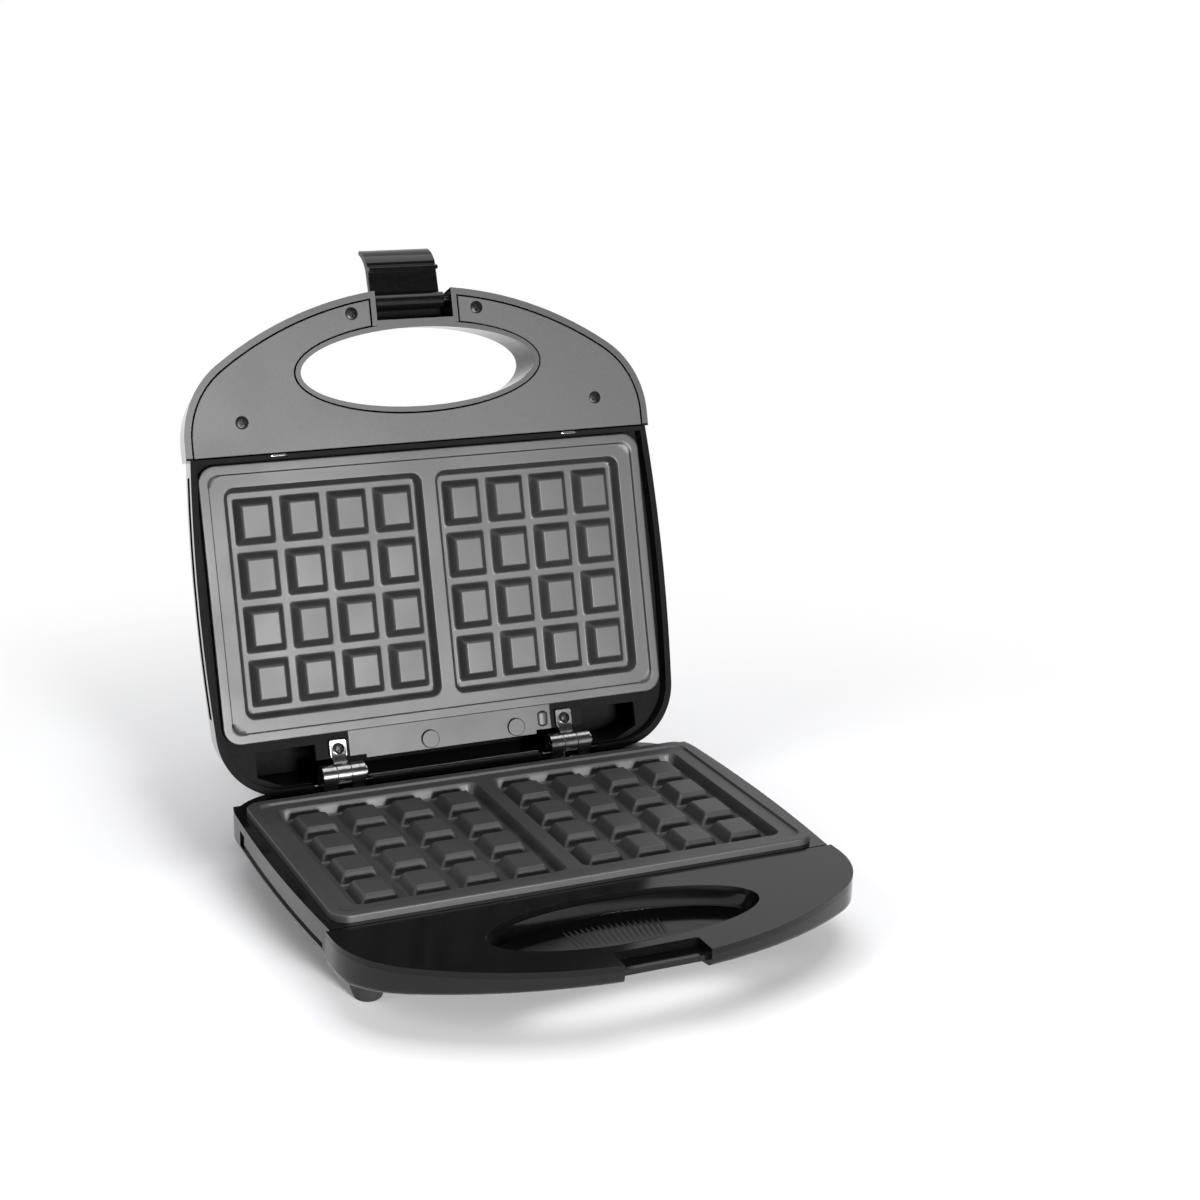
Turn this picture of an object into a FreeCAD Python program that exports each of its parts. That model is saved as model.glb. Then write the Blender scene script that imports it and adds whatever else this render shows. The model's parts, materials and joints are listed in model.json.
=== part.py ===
"""Two-slice waffle maker, open, in millimetres.

Every piece is drawn closed, around the middle of the plates: x to the right, y to the back and z up from the
plane where the two plates meet. The base is then set on its feet, the lid is swung back on its hinge and the
latch is swung out on its pin.
"""
import FreeCAD, Part
import math
import os
import Sketcher
from FreeCAD import Placement, Rotation, Vector

SIZES = [
    # Waffle plates
    ("plate_w", 216.0), ("plate_d", 124.4), ("plate_corner", 8.0), ("flange_t", 3.0), ("rim_step_w", 4.5),
    ("rim_step_t", 1.0), ("tray_edge_x", 97.0), ("tray_edge_y", 52.0), ("tray_depth", 6.0),
    ("tray_corner", 5.0), ("tray_draft", 20.0), ("divider_w", 6.4), ("plate_wall", 3.0),
    ("cell_pitch_x", 22.03), ("cell_pitch_y", 24.15), ("cell_w", 17.9), ("cell_d", 20.2),
    ("cell_rise", 5.0), ("cell_draft", 28.0), ("cell_gap", 33.8), ("cells_across", 4), ("cells_deep", 4),
    ("boss_r", 4.0), ("boss_rise", 9.6), ("boss_x", 45.0), ("boss_y", 18.0),
    # Heating element, straps and shield under each plate
    ("rod_r", 3.2), ("rod_gap", 0.3), ("loop_x", 84.0), ("loop_y", 36.0), ("loop_corner", 20.0),
    ("loop_opening", 28.0), ("rod_pin_r", 1.3), ("rod_pin_reach", 9.0), ("strap_x", 28.0),
    ("strap_w", 10.0), ("strap_len", 88.0), ("strap_t", 1.2), ("shield_w", 190.0), ("shield_d", 100.0),
    ("shield_t", 0.8), ("shield_rim", 6.0), ("shield_corner", 10.0), ("screw_r", 1.5),
    ("screw_head_r", 2.5), ("screw_head_t", 2.0), ("screw_grip", 6.0), ("screw_fit", 0.05),
    ("screw_end_gap", 0.5), ("head_sink", 0.3), ("thermostat_r", 8.0), ("thermostat_h", 7.0),
    ("thermostat_y", -14.0), ("blade_w", 4.0), ("blade_t", 0.8), ("fuse_r", 2.0), ("fuse_len", 16.0),
    ("fuse_y", 14.0),
    # Casing outline, seen from above
    ("half_w", 114.0), ("side_r", 900.0), ("bow_y", 5.0), ("rear_y", 87.0), ("rear_r", 30.0),
    ("handle_half_w", 113.0), ("handle_y", -65.0), ("front_y", -136.5), ("front_r", 165.0),
    ("front_corner_r", 42.0), ("wall", 2.5), ("rim_w", 3.0), ("cover_gap", 0.7), ("cover_t", 2.5),
    ("cross_wall", 2.2), ("body_lap", 11.8), ("deck_t", 2.5), ("deck_open_x", 102.0),
    ("deck_open_y", 57.0),
    # Lid
    ("closing_gap", 0.4), ("lid_h", 36.0), ("lid_draft", 10.0), ("crown_r", 900.0), ("crown_y", 15.0),
    ("nose_y", -40.0), ("nose_r", 400.0), ("crease_x", 74.0), ("roof_slope", 16.0), ("lid_edge_r", 5.0),
    # Base
    ("base_h", 34.0), ("belly_z", -27.0), ("base_nose_z", -10.5), ("belly_front_y", -20.0),
    ("belly_rear_y", 55.0), ("base_rear_z", -23.5), ("base_side_z", -16.0), ("belly_x", 84.0),
    ("base_edge_r", 3.0), ("ledge_y", 67.0), ("ledge_z", -7.4), ("post_x", 60.0), ("post_r", 5.0),
    # Handle opening
    ("hole_y", -100.0), ("hole_x", 57.0), ("hole_d", 18.0), ("hole_flare", 3.5), ("collar", 2.5),
    ("scoop_y", -97.4), ("scoop_x", 59.0), ("scoop_d", 22.0), ("scoop_draft", 1.5), ("scoop_wall_z", -11.5),
    ("slot_y", -108.5), ("slot_x", 50.0), ("slot_d", 9.5), ("slot_z", -13.8), ("cover_skin", 0.5),
    ("well_wall", 1.5),
    ("side_screw_x", 86.3), ("side_screw_y", -80.1), ("front_screw_x", 30.5), ("front_screw_y", -125.7),
    ("cover_boss_r", 3.6), ("cover_screw_r", 1.5), ("cover_head_r", 2.8), ("cover_head_t", 1.6),
    # Recessed bands along the sides
    ("band_from", -58.0), ("band_to", 50.0), ("band_depth", 0.9), ("lid_band_low", 5.0),
    ("lid_band_high", 17.0), ("base_band_low", -14.0), ("base_band_high", -7.0),
    # Hinge
    ("hinge_y", 81.0), ("hinge_z", -0.7), ("hinge_x", 56.0), ("open_angle", 106.5), ("knuckle_w", 6.5),
    ("knuckle_r", 5.0), ("knuckle_gap", 0.3), ("pin_r", 2.0), ("pin_fit", 0.05), ("pin_head_r", 3.2),
    ("pin_head_t", 1.5), ("bracket_t", 2.0), ("bracket_pad", 8.0), ("bracket_y", 69.5),
    ("bracket_margin", 0.5), ("hinge_pocket", 2.2), ("pad_r", 4.2), ("pad_t", 1.6), ("pad_y", 71.0),
    ("pad_left_x", -11.0), ("pad_right_x", 32.0), ("channel_y", 75.5), ("channel_x", 66.0),
    ("channel_side_y", 66.5), ("channel_out", 11.6), ("channel_turn", 9.0),
    # Latch
    ("notch_half_w", 18.5), ("lid_notch_y", -122.0), ("lid_notch_z", 12.6), ("base_notch_y", -124.0),
    ("catch_out", -132.5), ("catch_top", -6.6), ("catch_low", -9.0), ("latch_w", 29.4),
    ("latch_y", -131.0), ("latch_z", 5.0), ("latch_barrel_r", 3.5), ("latch_t", 3.0),
    ("latch_offset", 3.0), ("latch_angle", 95.0), ("latch_pin_r", 1.5), ("hook_gap", 0.6),
    ("tab_low", -20.0), ("tab_out", 6.5),
    # Indicator lenses
    ("bezel_x", 0.0), ("bezel_y", -33.0), ("bezel_half_w", 17.0), ("bezel_half_d", 8.5), ("bezel_t", 1.4),
    ("bezel_frame", 2.2), ("lens_gap", 1.6), ("lens_fit", 0.15), ("lens_rise", 1.0), ("lamp_r", 2.5),
    ("lamp_len", 9.0), ("holder_t", 4.0),
    # Feet
    ("foot_x", 96.0), ("foot_front_y", -66.0), ("foot_rear_x", 95.0), ("foot_rear_y", 60.0),
    ("foot_top_r", 9.0), ("foot_low_r", 6.0), ("foot_seat_z", -23.0), ("foot_rear_seat_z", -26.2),
    ("foot_stem_r", 3.0), ("foot_stem", 4.0), ("foot_round", 2.0), ("foot_fit", 0.1), ("foot_boss", 1.2),
    # Mains lead
    ("gland_x", -70.0), ("gland_z", -15.6), ("gland_len", 26.0), ("gland_r", 5.6), ("gland_tip_r", 4.4),
    ("gland_neck_r", 4.2), ("gland_lip", 1.0), ("gland_flange_r", 6.8), ("gland_flange_t", 2.0),
    ("gland_fit", 0.1), ("gland_ribs", 4), ("gland_groove", 1.0), ("gland_end", 2.0), ("block_x", -30.0),
    ("block_y", 73.0), ("block_w", 30.0), ("block_d", 9.0), ("block_h", 8.0), ("cord_r", 3.25),
    ("lead_run", 18.0), ("lead_fall", 28.0), ("hank_bend", 80.0), ("hank_fold", 22.0),
    ("hank_waist", 3.6), ("hank_tail", 16.0), ("hank_layer", 7.2), ("tie_t", 0.8), ("tie_fit", 0.3),
    ("tie_w", 9.0), ("plug_r", 18.0), ("plug_h", 28.0), ("plug_sleeve", 17.0), ("plug_pin_r", 2.4),
    ("plug_pin_len", 19.0), ("plug_pin_gap", 19.0), ("plug_waist", 1.0), ("plug_round", 4.0),
    ("plug_edge", 1.0), ("plug_head", 12.0), ("plug_flat", 1.5), ("sleeve_wall", 1.0),
    ("sleeve_root", 3.2),
    # From the plates' middle to the part's own origin
    ("origin_y", -16.085),
]

doc = FreeCAD.newDocument("waffle_maker")
sheet = doc.addObject("Spreadsheet::Sheet", "Sizes")
for row, (alias, number) in enumerate(SIZES, 1):
    sheet.set(f"A{row}", alias)
    sheet.set(f"B{row}", str(number))
    sheet.setAlias(f"B{row}", alias)
doc.recompute()


class Dim:
    """A length with its number and the sheet expression that it comes from."""

    def __init__(self, value, text):
        self.value = value
        self.text = text

    def __add__(self, other):
        other = dim(other)
        return Dim(self.value + other.value, f"({self.text} + {other.text})")

    def __sub__(self, other):
        other = dim(other)
        return Dim(self.value - other.value, f"({self.text} - {other.text})")

    def __mul__(self, other):
        other = dim(other)
        return Dim(self.value * other.value, f"({self.text} * {other.text})")

    def __truediv__(self, other):
        other = dim(other)
        return Dim(self.value / other.value, f"({self.text} / {other.text})")

    def __neg__(self):
        return Dim(-self.value, f"(-{self.text})")

    def __radd__(self, other):
        return dim(other) + self

    def __rsub__(self, other):
        return dim(other) - self

    def __rmul__(self, other):
        return dim(other) * self


def dim(number):
    """A plain number as a length, or a length as it is."""
    if isinstance(number, Dim):
        return number
    return Dim(float(number), f"({float(number)})")


def root(length):
    return Dim(math.sqrt(length.value), f"sqrt({length.text})")


def tangent(angle):
    return Dim(math.tan(math.radians(angle.value)), f"tan({angle.text} * 1 deg)")


class Named:
    """The sheet's sizes by name."""

    def __getattr__(self, alias):
        return Dim(float(sheet.get(alias)), f"Sizes.{alias}")


s = Named()


def bind(obj, prop, length):
    """Sets a property and ties it to the sheet."""
    obj.setExpression(prop, dim(length).text)


def plane_of(body, role):
    return [f for f in body.Origin.OriginFeatures if f.Role == role][0]


def new_body(name):
    return doc.addObject("PartDesign::Body", name)


def new_sketch(body, role, offset):
    sk = body.newObject("Sketcher::SketchObject", body.Name + "_sketch")
    sk.AttachmentSupport = [(plane_of(body, role), "")]
    sk.MapMode = "FlatFace"
    sk.AttachmentOffset = Placement(Vector(0, 0, dim(offset).value), Rotation())
    bind(sk, "AttachmentOffset.Base.z", offset)
    return sk


def pin_point(sk, geo, pos, point):
    """Fixes a sketch point at its named place."""
    for kind, length in (("DistanceX", dim(point[0])), ("DistanceY", dim(point[1]))):
        index = sk.addConstraint(Sketcher.Constraint(kind, -1, 1, geo, pos, length.value))
        bind(sk, f"Constraints[{index}]", length)


def arc_between(p, q, radius):
    """The short arc from p to q: a positive radius turns left and a negative one right."""
    half = (q - p) * 0.5
    reach = math.sqrt(max(radius * radius - half.Length ** 2, 0.0))
    left = Vector(-half.y, half.x, 0).normalize()
    centre = p + half + left * math.copysign(reach, radius)
    a, b = [math.atan2(v.y - centre.y, v.x - centre.x) for v in (p, q)]
    circle = Part.Circle(centre, Vector(0, 0, 1), abs(radius))
    return Part.ArcOfCircle(circle, a, b) if radius > 0 else Part.ArcOfCircle(circle, b, a)


def draw(sk, path, closed=True):
    """An outline of lines and arcs. A point (x, y) ends a line, and (x, y, radius) ends an arc."""
    spots = [Vector(dim(p[0]).value, dim(p[1]).value, 0) for p in path]
    ends = []
    for i in range(0 if closed else 1, len(path)):
        start, stop = spots[i - 1], spots[i]
        if len(path[i]) == 2:
            geo = sk.addGeometry(Part.LineSegment(start, stop))
            ends.append((geo, 1, 2, i))
        else:
            turn = dim(path[i][2])
            geo = sk.addGeometry(arc_between(start, stop, turn.value))
            ends.append((geo, 1, 2, i) if turn.value > 0 else (geo, 2, 1, i))
    for here, after in zip(ends, ends[1:] + ends[:1] if closed else ends[1:]):
        sk.addConstraint(Sketcher.Constraint("Coincident", here[0], here[2], after[0], after[1]))
    for geo, start_pos, end_pos, i in ends:
        pin_point(sk, geo, end_pos, path[i])
        if len(path[i]) == 3:
            turn = dim(path[i][2])
            index = sk.addConstraint(Sketcher.Constraint("Radius", geo, abs(turn.value)))
            bind(sk, f"Constraints[{index}]", turn if turn.value > 0 else -turn)
    if not closed:
        pin_point(sk, ends[0][0], ends[0][1], path[0])


def draw_circle(sk, centre, radius):
    spot = Vector(dim(centre[0]).value, dim(centre[1]).value, 0)
    geo = sk.addGeometry(Part.Circle(spot, Vector(0, 0, 1), dim(radius).value))
    pin_point(sk, geo, 3, centre)
    index = sk.addConstraint(Sketcher.Constraint("Radius", geo, dim(radius).value))
    bind(sk, f"Constraints[{index}]", radius)


def outlines(body, role, paths, offset=0):
    """A sketch of one or more closed outlines."""
    sk = new_sketch(body, role, offset)
    for path in paths:
        draw(sk, path)
    return sk


def circles(body, role, centres, radius, offset=0):
    sk = new_sketch(body, role, offset)
    for centre in centres:
        draw_circle(sk, centre, radius)
    return sk


def extrude(kind, body, sk, length, draft=None, reverse=False, both_ways=False):
    """A pad or a pocket of a sketch."""
    feature = body.newObject("PartDesign::" + kind, body.Name + "_" + kind.lower())
    feature.Profile = sk
    bind(feature, "Length", length)
    feature.Reversed = reverse
    if both_ways:
        feature.SideType = "Symmetric"
    if draft is not None:
        bind(feature, "TaperAngle", draft)
    sk.Visibility = False
    return feature


def pad(body, sk, length, draft=None, reverse=False, both_ways=False):
    return extrude("Pad", body, sk, length, draft, reverse, both_ways)


def pocket(body, sk, length, draft=None, reverse=False, both_ways=False):
    return extrude("Pocket", body, sk, length, draft, reverse, both_ways)


def revolve(body, sk):
    """A full turn about the sketch's own upright axis."""
    feature = body.newObject("PartDesign::Revolution", body.Name + "_turn")
    feature.Profile = sk
    feature.ReferenceAxis = (sk, ["V_Axis"])
    feature.Angle = 360
    sk.Visibility = False
    return feature


def fillet(body, feature, chosen, radius):
    """Rounds the edges of a feature that the test picks."""
    doc.recompute()
    names = [f"Edge{i}" for i, edge in enumerate(feature.Shape.Edges, 1) if chosen(feature.Shape, edge)]
    rounded = body.newObject("PartDesign::Fillet", body.Name + "_round")
    rounded.Base = (feature, names)
    bind(rounded, "Radius", radius)
    return rounded


def boolean(kind, name, base, tools):
    """Cuts, joins or meets solids; several tools are joined first."""
    tool = tools[0]
    if len(tools) > 1:
        tool = doc.addObject("Part::MultiFuse", name + "_tools")
        tool.Shapes = tools
    result = doc.addObject("Part::" + kind, name)
    result.Base = base
    result.Tool = tool
    return result


def round_rectangle(half_x, half_y, corner, x=0, y=0):
    """A rectangle with round corners about a middle."""
    left, right, low, high = x - half_x, x + half_x, y - half_y, y + half_y
    return [
        (left + corner, low, corner), (right - corner, low), (right, low + corner, corner),
        (right, high - corner), (right - corner, high, corner), (left + corner, high),
        (left, high - corner, corner), (left, low + corner),
    ]


def rectangle(left, right, low, high):
    return [(left, low), (right, low), (right, high), (left, high)]


def prism(name, path, low, high, role="XY_Plane"):
    """An outline raised from low to high along the plane's own upright."""
    body = new_body(name)
    pad(body, outlines(body, role, [path], low), dim(high) - low)
    return body


def four_corners(x, y):
    return [(x, y), (-x, y), (x, -y), (-x, -y)]


# Casing outline: a broad front arc, two corner arcs, bowed sides and round rear corners

def handle_corner():
    """The middle of the right front corner's arc, and the y of the front arc's middle."""
    front_mid = s.front_y + s.front_r
    x = s.handle_half_w - s.front_corner_r
    reach = s.front_r - s.front_corner_r
    return x, front_mid - root(reach * reach - x * x), front_mid


def front_curve(inset):
    """Where the front arc meets the corner arc, set in by a margin."""
    x, y, front_mid = handle_corner()
    share = (s.front_r - inset) / (s.front_r - s.front_corner_r)
    return x * share, front_mid + (y - front_mid) * share


def crescent_outline(inset, straight_y):
    """The handle's half moon: the front curve, closed by a straight edge."""
    join_x, join_y = front_curve(inset)
    corner_y = handle_corner()[1]
    side = s.handle_half_w - inset
    return [
        (-join_x, join_y, s.front_corner_r - inset), (join_x, join_y, s.front_r - inset),
        (side, corner_y, s.front_corner_r - inset), (side, straight_y),
        (-side, straight_y), (-side, corner_y),
    ]


def side_x(y, inset):
    """How far out the bowed side stands at a given depth."""
    away = y - s.bow_y
    return s.half_w - s.side_r + root((s.side_r - inset) * (s.side_r - inset) - away * away)


def rear_curve(inset):
    """The right rear corner's arc: where it leaves the side, and the x where it meets the back."""
    middle = s.half_w - s.side_r
    away = s.rear_y - s.rear_r - s.bow_y
    reach = s.side_r - s.rear_r
    along = root(reach * reach - away * away)
    share = (s.side_r - inset) / reach
    return middle + along * share, s.bow_y + away * share, middle + along


def room_outline(inset, front):
    """The casing behind a straight front line, set in by a margin."""
    step = side_x(front, inset)
    turn_x, turn_y, back_x = rear_curve(inset)
    back = s.rear_y - inset
    return [
        (-step, front, s.side_r - inset), (step, front), (turn_x, turn_y, s.side_r - inset),
        (back_x, back, s.rear_r - inset), (-back_x, back), (-turn_x, turn_y, s.rear_r - inset),
    ]


lid_rim_z = s.closing_gap - s.flange_t
lid_deck_z = s.closing_gap + s.flange_t
deck_z = -s.flange_t
room_front = s.handle_y + s.cross_wall
body_front = s.handle_y - s.body_lap
beyond = 20


def roof_arcs(inset):
    """The lid's long section: a flat crown arc from the back, then a tighter nose arc to the front."""
    crown_mid = s.lid_h - s.crown_r
    run = s.nose_y - s.crown_y
    rise = root(s.crown_r * s.crown_r - run * run)
    nose_mid_y = s.crown_y + run * (s.crown_r - s.nose_r) / s.crown_r
    nose_mid_z = crown_mid + rise * (s.crown_r - s.nose_r) / s.crown_r
    crown, nose = s.crown_r - inset, s.nose_r - inset

    def crown_z(y):
        away = y - s.crown_y
        return crown_mid + root(crown * crown - away * away)

    def nose_z(y):
        away = y - nose_mid_y
        return nose_mid_z + root(nose * nose - away * away)

    return crown, nose, crown_z, nose_z


def lid_form(name, path, low, inset):
    """The lid's outer form or a room in it: a drafted outline under the crown, the nose and two slopes."""
    body = new_body(name)
    top = s.lid_h + beyond
    pad(body, outlines(body, "XY_Plane", [path], low), top - low, -s.lid_draft)
    crown, nose, crown_z, nose_z = roof_arcs(inset)
    front, back = s.front_y - beyond, s.rear_y + beyond
    join = s.nose_y
    above = [
        (front, nose_z(front)), (join, nose_z(join), -nose), (back, crown_z(back), -crown),
        (back, top + beyond), (front, top + beyond),
    ]
    pocket(body, outlines(body, "YZ_Plane", [above]), s.half_w * 3, both_ways=True)
    slope = tangent(s.roof_slope)
    inner, outer = s.crease_x - beyond, s.half_w + beyond
    high, drop = s.lid_h - inset + slope * beyond, s.lid_h - inset - slope * (outer - s.crease_x)
    sides = [[(inner * k, high), (outer * k, drop), (outer * k, high)] for k in (1, -1)]
    return body, pocket(body, outlines(body, "XZ_Plane", sides), s.half_w * 5, both_ways=True)


def base_form(name, path, high, inset):
    """The base's outer form or a room in it: an upright outline over a belly that sweeps up all round."""
    body = new_body(name)
    low = s.belly_z - beyond
    pad(body, outlines(body, "XY_Plane", [path], low), dim(high) - low)
    front, back = s.front_y, s.rear_y
    belly, nose, rear = s.belly_z + inset, s.base_nose_z + inset, s.base_rear_z + inset
    rise = (nose - belly) / (s.belly_front_y - front)
    kick = (rear - belly) / (back - s.belly_rear_y)
    below = [
        (front - beyond, nose + rise * beyond), (front - beyond, low - beyond), (back + beyond, low - beyond),
        (back + beyond, rear + kick * beyond), (s.belly_rear_y, belly), (s.belly_front_y, belly),
    ]
    pocket(body, outlines(body, "YZ_Plane", [below]), s.half_w * 3, both_ways=True)
    side = s.base_side_z + inset
    lift = (side - belly) / (s.half_w - s.belly_x)
    outer = s.half_w + beyond
    sides = [
        [(s.belly_x * k, belly), (outer * k, side + lift * beyond), (outer * k, low), (s.belly_x * k, low)]
        for k in (1, -1)
    ]
    return body, pocket(body, outlines(body, "XZ_Plane", sides), s.half_w * 5, both_ways=True)


def face_up(face):
    return abs(face.normalAt(*[sum(face.ParameterRange[i:i + 2]) / 2 for i in (0, 2)]).z)


def soft_edge(shape, edge):
    """True on an edge of a level or sloping face, away from the rim and the deck."""
    if abs(edge.CenterOfMass.z - lid_rim_z.value) < 1 or abs(edge.CenterOfMass.z - deck_z.value) < 1:
        return False
    ups = [face_up(face) for face in shape.ancestorsOfType(edge, Part.Face)]
    return len(ups) == 2 and max(ups) > 0.5


def cut_behind(moon, line):
    """Ends a half moon at a straight line across."""
    wide = s.half_w * 2
    behind = rectangle(-wide, wide, line, line + beyond * 2)
    pocket(moon, outlines(moon, "XY_Plane", [behind]), wide, both_ways=True)


def casing_form(name, maker, level, edge_r):
    """A whole casing half: the bowed body and the handle's half moon, a little narrower where they meet."""
    line = s.handle_y

    def moon_edge(shape, edge):
        return soft_edge(shape, edge) and edge.BoundBox.YMin < line.value

    def body_edge(shape, edge):
        return soft_edge(shape, edge) and edge.BoundBox.YMax > line.value

    moon, last = maker(name + "_moon", crescent_outline(dim(0), line + beyond), level, dim(0))
    fillet(moon, last, moon_edge, edge_r)
    cut_behind(moon, line)
    body, last = maker(name + "_body", room_outline(dim(0), body_front), level, dim(0))
    fillet(body, last, body_edge, edge_r)
    return boolean("Fuse", name, body, [moon])


def oval(name, levels):
    """An opening through ovals, each with its half width, half depth, y and height."""
    rings = []
    for i, (half_x, half_y, y, z) in enumerate(levels):
        ring = doc.addObject("Part::Ellipse", f"{name}_ring{i}")
        bind(ring, "MajorRadius", half_x)
        bind(ring, "MinorRadius", half_y)
        ring.Placement = Placement(Vector(0, dim(y).value, dim(z).value), Rotation())
        bind(ring, "Placement.Base.y", y)
        bind(ring, "Placement.Base.z", z)
        rings.append(ring)
    loft = doc.addObject("Part::Loft", name)
    loft.Sections = rings
    loft.Solid = True
    loft.Ruled = True
    return loft


def lid_oval(name, margin, low):
    """The lid's handle opening or its collar, flared towards the top."""
    half_x, half_y = s.hole_x + margin, s.hole_d + margin
    return oval(name, [
        (half_x, half_y, s.hole_y, low), (half_x + s.hole_flare, half_y + s.hole_flare, s.hole_y, s.lid_h),
    ])


def base_scoop(name):
    """The base's handle opening: a steep oval wall, a floor that falls to the front, and a slot through it."""
    return oval(name, [
        (s.scoop_x, s.scoop_d, s.scoop_y, deck_z + 1),
        (s.scoop_x - s.scoop_draft, s.scoop_d - s.scoop_draft, s.scoop_y, s.scoop_wall_z),
        (s.slot_x, s.slot_d, s.slot_y, s.slot_z), (s.slot_x, s.slot_d, s.slot_y, s.belly_z),
    ])


def cylinder(name, radius, height, x, y, z, turn=None):
    """A plain round bar; it stands up unless it is turned."""
    bar = doc.addObject("Part::Cylinder", name)
    bind(bar, "Radius", radius)
    bind(bar, "Height", height)
    bar.Placement = Placement(Vector(0, 0, 0), turn or Rotation())
    for axis, length in zip("xyz", (x, y, z)):
        bind(bar, "Placement.Base." + axis, length)
    return bar


along_x = Rotation(Vector(0, 1, 0), 90)
cover_screws_at = [(s.side_screw_x * k, s.side_screw_y) for k in (1, -1)]
cover_screws_at += [(s.front_screw_x * k, s.front_screw_y) for k in (1, -1)]
plate_screws_at = four_corners(s.boss_x, s.boss_y)
strap_screws_at = [(s.strap_x * k, 0) for k in (1, -1)]
hinges_at = [-s.hinge_x, s.hinge_x]
feet_at = [
    ("foot_front_left", -s.foot_x, s.foot_front_y, s.foot_seat_z),
    ("foot_front_right", s.foot_x, s.foot_front_y, s.foot_seat_z),
    ("foot_rear_left", -s.foot_rear_x, s.foot_rear_y, s.foot_rear_seat_z),
    ("foot_rear_right", s.foot_rear_x, s.foot_rear_y, s.foot_rear_seat_z),
]


def posts(name, spots, radius, low, high):
    """Round posts between two heights, as one set of solids."""
    body = []
    for i, (x, y) in enumerate(spots):
        body.append(cylinder(f"{name}{i}", radius, dim(high) - low, x, y, low))
    return body


def hinge_pockets(name, low, high):
    """Room for the hinge knuckles at the back of the casing."""
    half = s.knuckle_w * 1.5 + s.knuckle_gap + s.pin_head_t + s.hinge_pocket
    reach = s.knuckle_r + s.hinge_pocket
    paths = [rectangle(x - half, x + half, s.hinge_y - reach, s.rear_y + beyond) for x in hinges_at]
    body = new_body(name)
    pad(body, outlines(body, "XY_Plane", paths, low), dim(high) - low)
    return body


# Lid casing

def make_lid_shell():
    form = casing_form("lid_form", lid_form, lid_rim_z, s.lid_edge_r)
    room = room_outline(s.wall, room_front)
    plate_room, _ = lid_form("lid_plate_room", room, lid_deck_z + s.deck_t, s.wall)
    moon = crescent_outline(s.rim_w, s.handle_y + beyond)
    handle_room, _ = lid_form("lid_handle_room", moon, lid_rim_z, s.wall)
    cut_behind(handle_room, s.handle_y)
    notch_box = rectangle(-s.notch_half_w, s.notch_half_w, s.front_y - beyond, s.lid_notch_y)
    notch = prism("lid_notch", notch_box, lid_rim_z - 1, s.lid_notch_z)
    thick = s.notch_half_w + s.wall
    notch_skin = prism(
        "lid_notch_skin", rectangle(-thick, thick, s.front_y - beyond, s.lid_notch_y + s.wall),
        lid_rim_z - 1, s.lid_notch_z + s.wall,
    )
    collar = lid_oval("lid_collar", s.collar, lid_rim_z)
    bosses = posts("lid_boss", cover_screws_at, s.cover_boss_r, lid_rim_z + s.cover_t, s.lid_h)
    handle_hollow = boolean("Cut", "lid_handle_hollow", handle_room, [notch_skin, collar] + bosses)
    pocket_low = prism("lid_pocket", room_outline(s.rim_w, room_front), lid_rim_z - 1, lid_deck_z)
    opening = prism(
        "lid_deck_opening", round_rectangle(s.deck_open_x, s.deck_open_y, s.plate_corner),
        lid_deck_z - 1, lid_deck_z + s.deck_t + 1,
    )
    channel = prism("lid_channel", channel_outline(), lid_deck_z - 1, lid_deck_z + s.deck_t + 1)
    hole = lid_oval("lid_hole", dim(0), lid_rim_z - 1)
    screw_holes = posts(
        "lid_boss_hole", cover_screws_at, s.cover_screw_r + s.screw_fit,
        lid_rim_z, lid_rim_z + s.cover_t + s.screw_grip,
    )
    pin_hole = cylinder(
        "latch_pin_hole", s.latch_pin_r + s.pin_fit, (s.notch_half_w + s.wall) * 2,
        -(s.notch_half_w + s.wall), s.latch_y, s.latch_z, along_x,
    )
    bezel_hole = prism("bezel_hole", bezel_outline(s.lens_fit), s.lid_h - s.lid_h / 2, s.lid_h + 1)
    knuckles = hinge_pockets("lid_hinge_pockets", lid_rim_z - 1, s.hinge_z + s.knuckle_r + s.hinge_pocket)
    bracket_holes = posts(
        "lid_bracket_hole", lid_bracket_screws(), s.screw_r + s.screw_fit,
        lid_deck_z, lid_deck_z + s.deck_t + 1,
    )
    band = boolean("Cut", "lid_band", prism(
        "lid_band_room", rectangle(-s.half_w * 2, s.half_w * 2, s.band_from, s.band_to),
        s.lid_band_low, s.lid_band_high,
    ), [lid_form("lid_band_core", room_outline(s.band_depth, body_front), lid_rim_z, s.band_depth)[0]])
    return boolean("Cut", "lid_shell", form, [
        plate_room, handle_hollow, pocket_low, opening, channel, hole, notch, pin_hole, bezel_hole, knuckles,
        band,
    ] + screw_holes + bracket_holes)


def channel_outline():
    """The open channel behind the lid's rear panel, wider beside the hinges, inside the rear corners."""
    back_x = rear_curve(s.rim_w)[2]
    end_x, end_y = back_x + s.channel_out, s.rear_y - s.channel_turn
    back_y = s.rear_y - s.rim_w - s.cover_gap
    right = [
        (s.channel_x, s.channel_y), (s.channel_x, s.channel_side_y), (end_x, s.channel_side_y), (end_x, end_y),
        (back_x, back_y),
    ]
    return right + [(-x, y) for x, y in reversed(right)]


def bezel_outline(margin):
    """The indicator's long oval on the lid."""
    half_y = s.bezel_half_d + margin
    run = s.bezel_half_w + margin - half_y
    left, right = s.bezel_x - run, s.bezel_x + run
    low, high = s.bezel_y - half_y, s.bezel_y + half_y
    return [
        (left, low, half_y), (right, low), (right + half_y, s.bezel_y, half_y),
        (right, high, half_y), (left, high), (left - half_y, s.bezel_y, half_y),
    ]


# Base casing

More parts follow.
